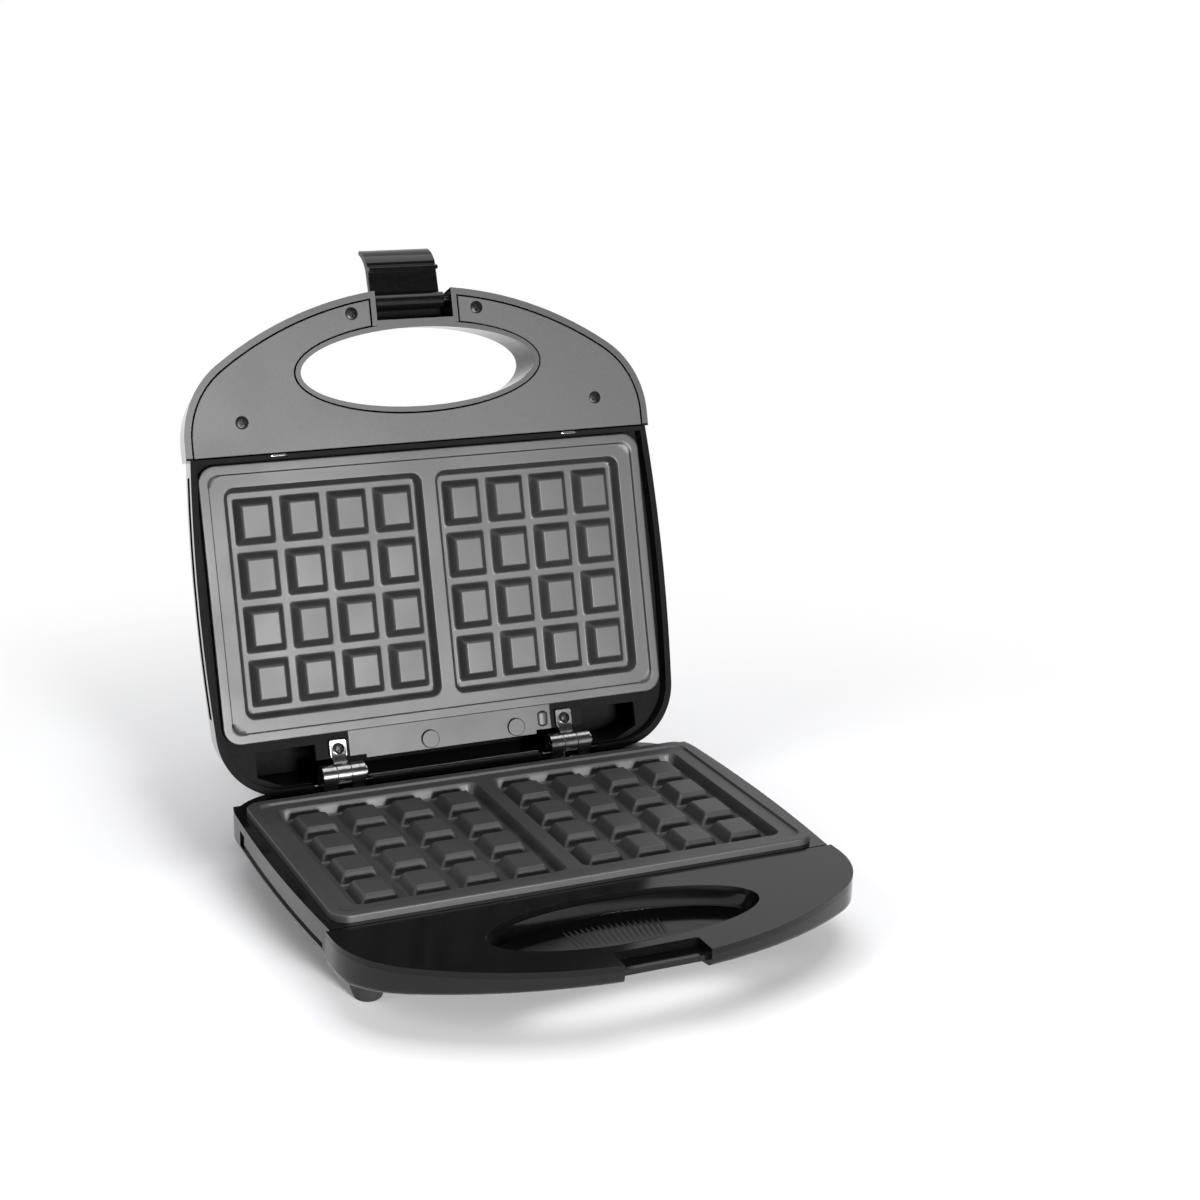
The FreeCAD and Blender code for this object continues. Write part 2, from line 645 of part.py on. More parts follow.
def make_base_shell():
    form = casing_form("base_form", base_form, deck_z, s.base_edge_r)
    plate_room, _ = base_form("base_plate_room", room_outline(s.wall, room_front), deck_z - s.deck_t, s.wall)
    rear_deck = prism(
        "rear_deck", rectangle(-s.half_w * 2, s.half_w * 2, s.ledge_y - s.wall, s.rear_y + beyond),
        s.ledge_z - s.deck_t, deck_z,
    )
    post_solids = posts("base_post", [(s.post_x * k, 0) for k in (1, -1)], s.post_r, s.belly_z, shield_back())
    foot_bosses = [foot_seat(name + "_boss", x, y, seat) for name, x, y, seat in feet_at]
    plate_hollow = boolean("Cut", "base_plate_hollow", plate_room, [rear_deck] + post_solids + foot_bosses)
    handle_room, _ = base_form("base_handle_room", crescent_outline(s.rim_w, s.handle_y), deck_z + 1, s.wall)
    notch_box = rectangle(-s.notch_half_w, s.notch_half_w, s.front_y - beyond, s.base_notch_y)
    notch = prism("base_notch", notch_box, s.belly_z, deck_z + 1)
    thick = s.notch_half_w + s.wall
    notch_skin = prism(
        "base_notch_skin", rectangle(-thick, thick, s.front_y - beyond, s.base_notch_y + s.wall),
        s.belly_z, deck_z + 1,
    )
    collar_x, collar_d, cover_seat = s.scoop_x + s.collar, s.scoop_d + s.collar, deck_z - s.cover_t
    collar = oval("base_collar", [
        (collar_x, collar_d, s.scoop_y, s.belly_z), (collar_x, collar_d, s.scoop_y, cover_seat),
    ])
    bosses = posts("base_boss", cover_screws_at, s.cover_head_r + s.well_wall, s.belly_z, cover_seat)
    round_collar = boolean("Cut", "base_round_collar", handle_room, [collar])
    handle_hollow = boolean("Cut", "base_handle_hollow", round_collar, [notch_skin] + bosses + foot_bosses)
    hole = base_scoop("base_hole")
    cover_room = prism("base_cover_room", crescent_outline(dim(-1), s.handle_y), cover_seat, deck_z + 1)
    opening = prism(
        "base_deck_opening", round_rectangle(s.deck_open_x, s.deck_open_y, s.plate_corner),
        deck_z - s.deck_t - 1, deck_z + 1,
    )
    ledge = prism(
        "ledge_room", rectangle(-s.half_w * 2, s.half_w * 2, s.ledge_y, s.rear_y + beyond),
        s.ledge_z, deck_z + 1,
    )
    screw_holes = posts(
        "base_boss_hole", cover_screws_at, s.cover_screw_r + s.screw_fit, cover_seat - s.screw_grip / 2, deck_z,
    )
    screw_wells = posts(
        "base_screw_well", cover_screws_at, s.cover_head_r + s.screw_fit, s.belly_z, cover_seat - s.screw_grip / 2,
    )
    bracket_holes = posts("base_bracket_hole", base_bracket_screws(), s.screw_r + s.screw_fit,
                          s.ledge_z - s.deck_t - 1, s.ledge_z + 1)
    stem_holes = []
    for name, x, y, seat in feet_at:
        stem_holes.append(cylinder(name + "_hole", s.foot_stem_r + s.foot_fit, s.foot_stem, x, y, seat))
    gland_hole = cylinder(
        "gland_hole", s.gland_neck_r + s.gland_fit, s.wall * 2, s.gland_x, s.rear_y + s.wall / 2, s.gland_z,
        Rotation(Vector(1, 0, 0), 90),
    )
    band = boolean("Cut", "base_band", prism(
        "base_band_room", rectangle(-s.half_w * 2, s.half_w * 2, s.band_from, s.band_to),
        s.base_band_low, s.base_band_high,
    ), [prism("base_band_core", room_outline(s.band_depth, body_front), s.belly_z, deck_z)])
    hollow = boolean("Cut", "base_hollowed", form, [
        plate_hollow, handle_hollow, cover_room, hole, opening, ledge, notch, gland_hole, band,
    ])
    catch = prism(
        "latch_catch", rectangle(-s.notch_half_w, s.notch_half_w, s.catch_out, s.base_notch_y + s.wall / 2),
        s.catch_low, s.catch_top,
    )
    seats = [foot_seat(name + "_seat", x, y, seat) for name, x, y, seat in feet_at]
    joined = boolean("Fuse", "base_joined", hollow, [catch] + seats)
    return boolean("Cut", "base_shell", joined, screw_holes + screw_wells + bracket_holes + stem_holes)


def foot_seat(name, x, y, seat):
    """The round boss that a foot is pushed into, level under the sloping belly."""
    return cylinder(name, s.foot_top_r + s.foot_boss, s.foot_stem + s.wall, x, y, seat)


def shield_back():
    """The underside of the lower heat shield."""
    return -s.tray_depth - s.plate_wall - s.boss_rise - s.shield_t


def base_bracket_screws():
    """One screw in front of each pair of ears."""
    return [(x, s.hinge_y - s.knuckle_r - s.screw_head_r - s.screw_head_t / 2) for x in hinges_at]


def lid_bracket_screws():
    """One screw through each pad on the lid's deck."""
    return [(x, s.bracket_y) for x in hinges_at]


# Handle covers and their screws, drawn from the seat plane outwards

def cover_blank(name, inset, notch_half_w, notch_y):
    """A half moon plate, set in by a margin, with the latch notch."""
    cover = new_body(name + "_blank")
    pad(cover, outlines(cover, "XY_Plane", [crescent_outline(inset, s.handle_y - s.cover_gap)]), s.cover_t)
    notch = rectangle(-notch_half_w, notch_half_w, s.front_y - beyond, notch_y)
    pocket(cover, outlines(cover, "XY_Plane", [notch], s.cover_t), s.cover_t)
    return cover


def cover_oval(name, half_x, half_y, y):
    """A straight oval through a cover."""
    return oval(name + "_oval", [(half_x, half_y, y, -1), (half_x, half_y, y, s.cover_t + 1)])


def make_lid_cover(name):
    """The lid's cover, set into the rim and round the collar, with four countersunk screw seats."""
    skin = s.wall + s.cover_gap
    cover = cover_blank(name, s.rim_w + s.cover_gap, s.notch_half_w + skin, s.lid_notch_y + skin)
    bore, seat = s.cover_screw_r + s.screw_fit, s.cover_head_r + s.screw_fit
    pocket(cover, circles(cover, "XY_Plane", cover_screws_at, bore, s.cover_t), s.cover_t)
    pocket(cover, circles(cover, "XY_Plane", cover_screws_at, seat, s.cover_t), s.cover_head_t)
    margin = s.collar + s.cover_gap
    return boolean("Cut", name, cover, [cover_oval(name, s.hole_x + margin, s.hole_d + margin, s.hole_y)])


def make_base_cover(name):
    """The base's cover, out to the handle's edge, with four blind screw holes in its underside."""
    cover = cover_blank(name, dim(0), s.notch_half_w, s.base_notch_y)
    bore = s.cover_screw_r + s.screw_fit
    pocket(cover, circles(cover, "XY_Plane", cover_screws_at, bore), s.cover_t - s.cover_skin, reverse=True)
    return boolean("Cut", name, cover, [cover_oval(name, s.scoop_x, s.scoop_d, s.scoop_y)])


def make_lid_cover_screws(name):
    """Four screws whose heads sit below the cover's face."""
    screws = new_body(name)
    head_low = s.cover_t - s.cover_head_t
    heads = circles(screws, "XY_Plane", cover_screws_at, s.cover_head_r, head_low)
    pad(screws, heads, s.cover_head_t - s.head_sink)
    shank = head_low + s.screw_grip / 2 - s.screw_end_gap
    pad(screws, circles(screws, "XY_Plane", cover_screws_at, s.cover_screw_r, head_low), shank, reverse=True)
    return screws


def make_base_cover_screws(name):
    """Four screws in wells under the handle, driven up into the cover."""
    screws = new_body(name)
    seat = -s.screw_grip / 2
    heads = circles(screws, "XY_Plane", cover_screws_at, s.cover_head_r, seat)
    pad(screws, heads, s.cover_head_t, reverse=True)
    shank = s.cover_t - s.cover_skin - s.screw_end_gap - seat
    pad(screws, circles(screws, "XY_Plane", cover_screws_at, s.cover_screw_r, seat), shank)
    return screws


# Waffle plate, drawn with its working face up at z = 0

def make_plate(name):
    body = new_body(name)
    half_x, half_y = s.plate_w / 2, s.plate_d / 2
    back = s.tray_depth + s.plate_wall
    outer = round_rectangle(half_x, half_y, s.plate_corner)
    pad(body, outlines(body, "XY_Plane", [outer]), s.flange_t, reverse=True)
    block = round_rectangle(s.tray_edge_x + s.plate_wall, s.tray_edge_y + s.plate_wall, s.tray_corner)
    pad(body, outlines(body, "XY_Plane", [block]), back, reverse=True)
    step = round_rectangle(half_x - s.rim_step_w, half_y - s.rim_step_w, s.plate_corner - s.rim_step_w / 2)
    pocket(body, outlines(body, "XY_Plane", [step]), s.rim_step_t)
    tray_mid = (s.tray_edge_x + s.divider_w / 2) / 2
    tray_half = (s.tray_edge_x - s.divider_w / 2) / 2
    trays = [round_rectangle(tray_half, s.tray_edge_y, s.tray_corner, tray_mid * k) for k in (1, -1)]
    pocket(body, outlines(body, "XY_Plane", trays), s.tray_depth, -s.tray_draft)
    first_x = s.cell_gap / 2
    first_y = -s.cell_pitch_y * (s.cells_deep - 1) / 2
    cell = rectangle(
        first_x - s.cell_w / 2, first_x + s.cell_w / 2, first_y - s.cell_d / 2, first_y + s.cell_d / 2
    )
    pyramid = pad(body, outlines(body, "XY_Plane", [cell], -s.tray_depth), s.cell_rise, -s.cell_draft)
    grid = body.newObject("PartDesign::MultiTransform", name + "_grid")
    grid.Originals = [pyramid]
    steps = []
    rows = (("X_Axis", s.cell_pitch_x, s.cells_across), ("Y_Axis", s.cell_pitch_y, s.cells_deep))
    for role, pitch, count in rows:
        line = body.newObject("PartDesign::LinearPattern", name + "_row")
        line.Direction = (plane_of(body, role), [""])
        bind(line, "Length", pitch * (count - 1))
        bind(line, "Occurrences", count)
        steps.append(line)
    mirror = body.newObject("PartDesign::Mirrored", name + "_halves")
    mirror.MirrorPlane = (plane_of(body, "YZ_Plane"), [""])
    grid.Transformations = steps + [mirror]
    body.Tip = grid
    pad(body, circles(body, "XY_Plane", plate_screws_at, s.boss_r, -back), s.boss_rise, reverse=True)
    strap_seat = s.rod_gap + s.rod_r * 2
    pad(body, circles(body, "XY_Plane", strap_screws_at, s.boss_r, -back), strap_seat, reverse=True)
    bore = s.screw_r + s.screw_fit
    boss_bores = circles(body, "XY_Plane", plate_screws_at, bore, -back - s.boss_rise)
    pocket(body, boss_bores, s.screw_grip, reverse=True)
    seat_bores = circles(body, "XY_Plane", strap_screws_at, bore, -back - strap_seat)
    pocket(body, seat_bores, s.screw_grip, reverse=True)
    return body


def make_element(name):
    """A bent heating rod: one open loop near the plate's edge, with a thin pin at each end."""
    body = new_body(name)
    level = -s.tray_depth - s.plate_wall - s.rod_gap - s.rod_r
    end, x, y, r = s.loop_opening / 2, s.loop_x, s.loop_y, s.loop_corner
    spine = new_sketch(body, "XY_Plane", level)
    draw(spine, [
        (-end, y), (r - x, y), (-x, y - r, r), (-x, r - y), (r - x, -y, r), (x - r, -y),
        (x, r - y, r), (x, y - r), (x - r, y, r), (end, y),
    ], closed=False)
    ring = new_sketch(body, "YZ_Plane", -end)
    draw_circle(ring, (y, level), s.rod_r)
    rod = body.newObject("PartDesign::AdditivePipe", name + "_rod")
    rod.Profile = ring
    rod.Spine = spine
    for k in (1, -1):
        cap = new_sketch(body, "YZ_Plane", end * k)
        draw_circle(cap, (y, level), s.rod_pin_r)
        pad(body, cap, s.rod_pin_reach, reverse=k > 0)
    return body


def make_straps(name):
    """Two flat straps that hold the heating rod against the plate's back."""
    body = new_body(name)
    seat = -s.tray_depth - s.plate_wall - s.rod_gap - s.rod_r * 2
    strips = [
        round_rectangle(s.strap_w / 2, s.strap_len / 2, s.strap_w / 4, s.strap_x * k) for k in (1, -1)
    ]
    pad(body, outlines(body, "XY_Plane", strips, seat), s.strap_t, reverse=True)
    pocket(body, circles(body, "XY_Plane", strap_screws_at, s.screw_r + s.screw_fit, seat), s.strap_t)
    return body


def make_shield(name):
    """A pressed tray with a turned-up rim between the element and the casing."""
    body = new_body(name)
    floor = -s.tray_depth - s.plate_wall - s.boss_rise
    half_x, half_y = s.shield_w / 2, s.shield_d / 2
    outer = round_rectangle(half_x, half_y, s.shield_corner)
    pad(body, outlines(body, "XY_Plane", [outer], floor - s.shield_t), s.shield_rim)
    inner = round_rectangle(half_x - s.shield_t, half_y - s.shield_t, s.shield_corner - s.shield_t)
    rim = floor - s.shield_t + s.shield_rim
    pocket(body, outlines(body, "XY_Plane", [inner], rim), s.shield_rim - s.shield_t)
    pocket(body, circles(body, "XY_Plane", plate_screws_at, s.screw_r + s.screw_fit, floor), s.shield_t)
    return body


def make_plate_screws(name):
    """Screws for the shield and for the straps: pan heads under the sheet, shanks up into the bosses."""
    body = new_body(name)
    back = -s.tray_depth - s.plate_wall
    sheets = (
        (plate_screws_at, back - s.boss_rise, s.shield_t),
        (strap_screws_at, back - s.rod_gap - s.rod_r * 2, s.strap_t),
    )
    for spots, seat, sheet_t in sheets:
        under = seat - sheet_t
        head_t = s.screw_head_t * s.strap_t / (s.strap_t + s.shield_t)
        pad(body, circles(body, "XY_Plane", spots, s.screw_head_r, under), head_t, reverse=True)
        shank = s.screw_grip - s.screw_end_gap + sheet_t
        pad(body, circles(body, "XY_Plane", spots, s.screw_r, under), shank)
    return body


def make_thermostat(name):
    """A disc thermostat on the plate's back: a wide foot, a body and two blade terminals."""
    turned = new_body(name + "_can")
    h, r = s.thermostat_h, s.thermostat_r
    profile = [
        (0, 0), (r, 0), (r, -h / 5), (r * 0.85, -h / 5), (r * 0.85, -h * 0.8), (r * 0.6, -h), (0, -h),
    ]
    revolve(turned, outlines(turned, "XZ_Plane", [profile]))
    blades = new_body(name + "_blades")
    half_w, half_t = s.blade_w / 2, s.blade_t / 2
    tips = [rectangle(r * k - half_w, r * k + half_w, -half_t, half_t) for k in (1, -1)]
    pad(blades, outlines(blades, "XY_Plane", tips, -h * 0.7), h * 0.3)
    return boolean("Fuse", name, turned, [blades])


def make_fuse(name):
    """A thermal fuse: a small can with a lead at each end, along x."""
    body = new_body(name)
    pad(body, circles(body, "YZ_Plane", [(0, 0)], s.fuse_r, -s.fuse_len / 2), s.fuse_len)
    pad(body, circles(body, "YZ_Plane", [(0, 0)], s.rod_pin_r / 2, -s.fuse_len), s.fuse_len * 2)
    return body


# Hinge: a base bracket with two ears, a lid bracket with one knuckle and a headed pin

def knuckle_profile(foot_z, half_foot):
    """An ear in side view: a straight foot that runs up into a round end about the hinge."""
    y, z, r = s.hinge_y, s.hinge_z, s.knuckle_r
    return [(y - half_foot, foot_z), (y + half_foot, foot_z), (y + r, z), (y, z + r, r), (y - r, z, r)]


def make_base_brackets(name):
    """A foot plate on the ledge with two ears for each hinge."""
    body = new_body(name)
    half_x = s.knuckle_w * 1.5 + s.knuckle_gap
    front = s.ledge_y + s.bracket_margin
    back = s.hinge_y + s.knuckle_r - s.bracket_margin
    feet = []
    for x in hinges_at:
        feet.append(round_rectangle(half_x, (back - front) / 2, s.bracket_t / 2, x, (back + front) / 2))
    pad(body, outlines(body, "XY_Plane", feet, s.ledge_z), s.bracket_t / 2)
    for x in hinges_at:
        for k in (1, -1):
            inner = x + (s.knuckle_w / 2 + s.knuckle_gap) * k
            ear = knuckle_profile(s.ledge_z, s.knuckle_r - s.bracket_margin)
            pad(body, outlines(body, "YZ_Plane", [ear], inner), s.knuckle_w, reverse=k < 0)
    bore = s.pin_r + s.pin_fit
    pocket(body, circles(body, "YZ_Plane", [(s.hinge_y, s.hinge_z)], bore), s.half_w * 2, both_ways=True)
    holes = circles(body, "XY_Plane", base_bracket_screws(), s.screw_r + s.screw_fit, s.ledge_z + s.bracket_t)
    pocket(body, holes, s.bracket_t)
    return body


def make_lid_brackets(name):
    """Square pads on the lid's deck with an arm and a knuckle each."""
    body = new_body(name)
    pads = []
    for x in hinges_at:
        pads.append(round_rectangle(s.bracket_pad / 2, s.bracket_pad / 2, s.bracket_t / 2, x, s.bracket_y))
    pad(body, outlines(body, "XY_Plane", pads, lid_deck_z - s.bracket_t), s.bracket_t)
    y, z, r = s.hinge_y, s.hinge_z, s.knuckle_r
    root_y = s.bracket_y + s.bracket_pad / 2 - s.bracket_margin * 2
    arm = [
        (root_y, lid_deck_z - s.bracket_t), (y - r, z), (y, z - r, r), (y + r, z, r), (y, z + r, r),
        (y - r - s.hinge_pocket, lid_deck_z), (root_y, lid_deck_z),
    ]
    for x in hinges_at:
        pad(body, outlines(body, "YZ_Plane", [arm], x), s.knuckle_w, both_ways=True)
    bore = s.pin_r + s.pin_fit
    pocket(body, circles(body, "YZ_Plane", [(y, z)], bore), s.half_w * 2, both_ways=True)
    holes = circles(body, "XY_Plane", lid_bracket_screws(), s.screw_r + s.screw_fit, lid_deck_z)
    pocket(body, holes, s.bracket_t)
    return body


def make_hinge_pins(name):
    """A headed pin through each hinge's three knuckles."""
    body = new_body(name)
    half = s.knuckle_w * 1.5 + s.knuckle_gap
    for x in hinges_at:
        shank = circles(body, "YZ_Plane", [(s.hinge_y, s.hinge_z)], s.pin_r, x)
        pad(body, shank, half * 2, both_ways=True)
        head = circles(body, "YZ_Plane", [(s.hinge_y, s.hinge_z)], s.pin_head_r, x + half)
        pad(body, head, s.pin_head_t)
    return body


def make_hinge_screws(name, spots, seat, up):
    """Pan-head screws that hold the hinge brackets."""
    body = new_body(name)
    pad(body, circles(body, "XY_Plane", spots, s.screw_head_r, seat), s.screw_head_t / 2, reverse=up)
    shank = s.bracket_t + s.deck_t - s.screw_end_gap
    pad(body, circles(body, "XY_Plane", spots, s.screw_r, seat), shank, reverse=not up)
    return body


def make_rear_pads(name):
    """Two round pads on the lid's deck, between the hinges."""
    body = new_body(name)
    pads = pad(body, circles(
        body, "XY_Plane", [(s.pad_left_x, s.pad_y), (s.pad_right_x, s.pad_y)], s.pad_r, lid_deck_z
    ), s.pad_t, reverse=True)
    fillet(body, pads, lambda shape, edge: edge.CenterOfMass.z < lid_deck_z.value - 0.1, s.pad_t / 4)
    return body


# Latch: a bar that hangs over the front, hooks under the base's catch and ends in a flared tab

def make_latch(name):
    body = new_body(name)
    y, z, r = s.latch_y, s.latch_z, s.latch_barrel_r
    inner = y - s.latch_offset
    outer = inner - s.latch_t
    hook_top = s.catch_low - s.hook_gap
    hook_low = hook_top - s.latch_t
    bend = s.tab_out * 2
    tip = outer - s.tab_out
    profile = [
        (y, z + r), (outer + 1, z + r), (outer, z + r - 1, 1), (outer, hook_low + 2),
        (tip, s.tab_low, -bend), (tip + s.latch_t * 0.5, s.tab_low - s.latch_t * 0.5, s.latch_t * 0.45),
        (inner, hook_low - 1, bend),
        (inner, hook_low), (y, hook_low + s.latch_t / 2), (y, hook_top), (inner, hook_top),
        (inner, z - r + 0.5), (y, z - r), (y + r, z, r),
    ]
    profile[0] = (y, z + r, r)
    pad(body, outlines(body, "YZ_Plane", [profile]), s.latch_w, both_ways=True)
    bore = s.latch_pin_r + s.pin_fit
    pocket(body, circles(body, "YZ_Plane", [(y, z)], bore), s.latch_w * 2, both_ways=True)
    return body


def make_latch_pin(name):
    body = new_body(name)
    length = (s.notch_half_w + s.wall) * 2 - 1
    pad(body, circles(body, "YZ_Plane", [(s.latch_y, s.latch_z)], s.latch_pin_r), length, both_ways=True)
    return body


# Indicator: an oval bezel with a red and a green lens over two small lamps

def lid_top_at(y):
    """The lid's outer height on its middle line."""
    _, _, crown_z, nose_z = roof_arcs(dim(0))
    return crown_z(y) if dim(y).value > s.nose_y.value else nose_z(y)


def lens_outline(side, margin):
    """Half of the bezel's inner oval, left or right of the bar between the lenses."""
    half_x, half_y = s.bezel_half_w - s.bezel_frame - margin, s.bezel_half_d - s.bezel_frame - margin
    near = s.bezel_x + (s.lens_gap / 2 + margin) * side
    bend = s.bezel_x + (half_x - half_y) * side
    far = s.bezel_x + half_x * side
    turn = half_y * side
    return [
        (near, s.bezel_y - half_y), (bend, s.bezel_y - half_y), (far, s.bezel_y, turn),
        (bend, s.bezel_y + half_y, turn), (near, s.bezel_y + half_y),
    ]


def make_bezel(name):
    body = new_body(name)
    top = lid_top_at(s.bezel_y) + s.bezel_t / 2
    depth = s.bezel_t + s.wall
    pad(body, outlines(body, "XY_Plane", [bezel_outline(dim(0))], top), depth, reverse=True)
    windows = outlines(body, "XY_Plane", [lens_outline(k, dim(0)) for k in (1, -1)], top)
    pocket(body, windows, depth)
    return body


def make_lens(name, side):
    body = new_body(name)
    top = lid_top_at(s.bezel_y) + s.bezel_t / 2 + s.lens_rise / 2
    form = pad(body, outlines(body, "XY_Plane", [lens_outline(side, s.lens_fit)], top),
               s.bezel_t + s.wall + s.lens_rise / 2, reverse=True)
    fillet(body, form, lambda shape, edge: edge.CenterOfMass.z > top.value - 0.01, s.lens_rise / 2)
    return body


def lamps_at():
    step = s.bezel_half_w / 2
    return [(s.bezel_x + step * k, s.bezel_y) for k in (1, -1)]


def make_lamp_holder(name):
    """A moulded block under the bezel with a bore for each lamp."""
    body = new_body(name)
    high = lid_top_at(s.bezel_y) + s.bezel_t / 2 - s.bezel_t - s.wall
    pad(body, outlines(body, "XY_Plane", [bezel_outline(-s.lens_fit)], high), s.holder_t, reverse=True)
    pocket(body, circles(body, "XY_Plane", lamps_at(), s.lamp_r + s.lens_fit, high), s.holder_t)
    return body


def make_lamps(name):
    body = new_body(name)
    high = lid_top_at(s.bezel_y) + s.bezel_t / 2 - s.bezel_t - s.wall
    lamps = pad(body, circles(body, "XY_Plane", lamps_at(), s.lamp_r, high), s.lamp_len, reverse=True)
    fillet(body, lamps, lambda shape, edge: edge.CenterOfMass.z > high.value - 0.01, s.lamp_r / 2)
    return body


# Feet and the small things on the mains side

def make_foot(name, seat):
    """A rubber foot: a stem pushed into the casing, a cone and a rounded tread."""
    body = new_body(name)
    floor = -s.base_h
    profile = [
        (0, floor), (s.foot_low_r - s.foot_round, floor), (s.foot_low_r, floor + s.foot_round, s.foot_round),
        (s.foot_top_r, seat), (s.foot_stem_r, seat), (s.foot_stem_r, seat + s.foot_stem - s.foot_fit),
        (0, seat + s.foot_stem - s.foot_fit),
    ]
    revolve(body, outlines(body, "XZ_Plane", [profile]))
    return body


def make_terminal_block(name):
    """A block with three wire wells on the rising rear floor."""
    body = new_body(name)
    half_y = s.block_d / 2
    kick = (s.base_rear_z - s.belly_z) / (s.rear_y - s.belly_rear_y)
    low = s.belly_z + s.wall + kick * (s.block_y + half_y - s.belly_rear_y)
    outline = round_rectangle(s.block_w / 2, half_y, s.block_d / 10, s.block_x, s.block_y)
    pad(body, outlines(body, "XY_Plane", [outline], low), s.block_h)
    wells = [(s.block_x + s.block_w / 3 * k, s.block_y) for k in (-1, 0, 1)]
    pocket(body, circles(body, "XY_Plane", wells, s.block_d / 4, low + s.block_h), s.block_h / 2)
    return body


def make_gland(name):
    """The strain relief: a neck in the wall between two flanges, then a tapered sleeve with ring grooves."""
    body = new_body(name)
    t, tip = s.gland_flange_t, s.gland_len
    neck, lip, inside = s.gland_neck_r, s.gland_neck_r + s.gland_lip, -s.wall
    profile = [
        (0, inside - t), (lip, inside - t), (lip, inside), (neck, inside), (neck, 0),
        (s.gland_flange_r, 0), (s.gland_flange_r, t), (s.gland_r, t),
    ]
    count = int(s.gland_ribs.value)
    step = (tip - t - s.gland_end * 2) / count
    for i in range(count):
        radius = s.gland_r + (s.gland_tip_r - s.gland_r) * (i / count)
        floor = radius - s.gland_groove
        start = t + s.gland_end + step * i
        stop = start + step * 2 / 5
        profile += [(radius, start), (floor, start), (floor, stop), (radius, stop)]
    profile += [(s.gland_tip_r, tip), (0, tip)]
    revolve(body, outlines(body, "XY_Plane", [profile]))
    return body


# Mains lead: a free stretch down to the floor, then a tied hank behind the base

def number(alias):
    return float(sheet.get(alias))


def rounded_path(points):
    """Straight runs joined by tangent arcs, each as large as its two runs allow."""
    edges = []
    here = points[0]
    for before, corner, after in zip(points, points[1:], points[2:]):
        back, on = (before - corner), (after - corner)
        half_turn = (math.pi - back.getAngle(on)) / 2
        short = 0.45 * min(back.Length, on.Length)
        enter = corner + Vector(back).normalize() * short
        leave = corner + Vector(on).normalize() * short
        middle = Vector(back).normalize() + Vector(on).normalize()
        radius = short / math.tan(half_turn)
        print("cord bend radius", round(radius, 1))
        peak = corner + middle.normalize() * (radius / math.cos(half_turn) - radius)
        edges += [Part.LineSegment(here, enter).toShape(), Part.Arc(enter, peak, leave).toShape()]
        here = leave
    edges.append(Part.LineSegment(here, points[-1]).toShape())
    return edges


def tangent_arc(start, heading, stop):
    """The arc that leaves start along a heading and ends at stop, or a line where it would be straight."""
    chord = stop - start
    side = chord - heading * chord.dot(heading)
    if side.Length < 1e-6:
        return Part.LineSegment(start, stop).toShape()
    side.normalize()
    radius = chord.dot(chord) / (2 * chord.dot(side))
    centre = start + side * radius
    to_middle = (start - centre) + (stop - centre)
    if chord.dot(heading) < 0:
        to_middle = -to_middle
    return Part.Arc(start, centre + to_middle.normalize() * radius, stop).toShape()


def biarc(start, heading, stop, leaving):
    """Two arcs in space that join two points along their headings."""
    chord = stop - start
    both = heading + leaving
    a = 2 * (heading.dot(leaving) - 1)
    b = -2 * chord.dot(both)
    c = chord.dot(chord)
    reach = -c / b if abs(a) < 1e-9 else (-b - math.sqrt(b * b - 4 * a * c)) / (2 * a)
    joint = (start + heading * reach + stop - leaving * reach) * 0.5
    second = tangent_arc(stop, -leaving, joint)
    mid = second.valueAt((second.FirstParameter + second.LastParameter) / 2)
    if isinstance(second.Curve, Part.Circle):
        second = Part.Arc(joint, mid, stop).toShape()
    else:
        second = Part.LineSegment(joint, stop).toShape()
    return [tangent_arc(start, heading, joint), second]


def tube(label, edges, radius):
    """A round tube along a path, with its volume set against section times length."""
    path = Part.Wire(edges)
    start = path.Edges[0]
    ring = Part.Circle(start.valueAt(start.FirstParameter), start.tangentAt(start.FirstParameter), radius)
    solid = path.makePipeShell([Part.Wire([ring.toShape()])], True, False)
    share = solid.Volume / (math.pi * radius * radius * path.Length)
    print(label, "length", round(path.Length, 1), "volume share", round(share, 4))
    feature = doc.addObject("Part::Feature", label)
    feature.Shape = solid
    return feature


def least_gap(edges, radius):
    """The least space between turns of a tube that aren't neighbours along it."""
    step = radius / 2
    points = [p for edge in edges for p in edge.discretize(Distance=step)]
    skip = int(8 * radius / step)
    count = len(points)
    nearest = min((points[i] - points[j]).Length for i in range(0, count, 2) for j in range(i + skip, count, 2))
    return nearest - 2 * radius


def lead_heights():
    """Heights of the lead's middle line: at the gland, on the hank's lower layer and on its upper layer."""
    low = -number("base_h") + number("tie_t") + number("tie_fit") + number("cord_r")
    return number("gland_z"), low, low + number("hank_layer")


def lead_points():
    """The free stretch: out of the gland, down, and along the floor to the hank."""
    x, y = number("gland_x"), number("rear_y") + number("gland_len")
    high, low, _ = lead_heights()
    run, fall = number("lead_run"), number("lead_fall")
    return [
        Vector(x, y, high), Vector(x, y + run, high), Vector(x, y + run + fall, low),
        Vector(x, y + run * 2 + fall, low),
    ]


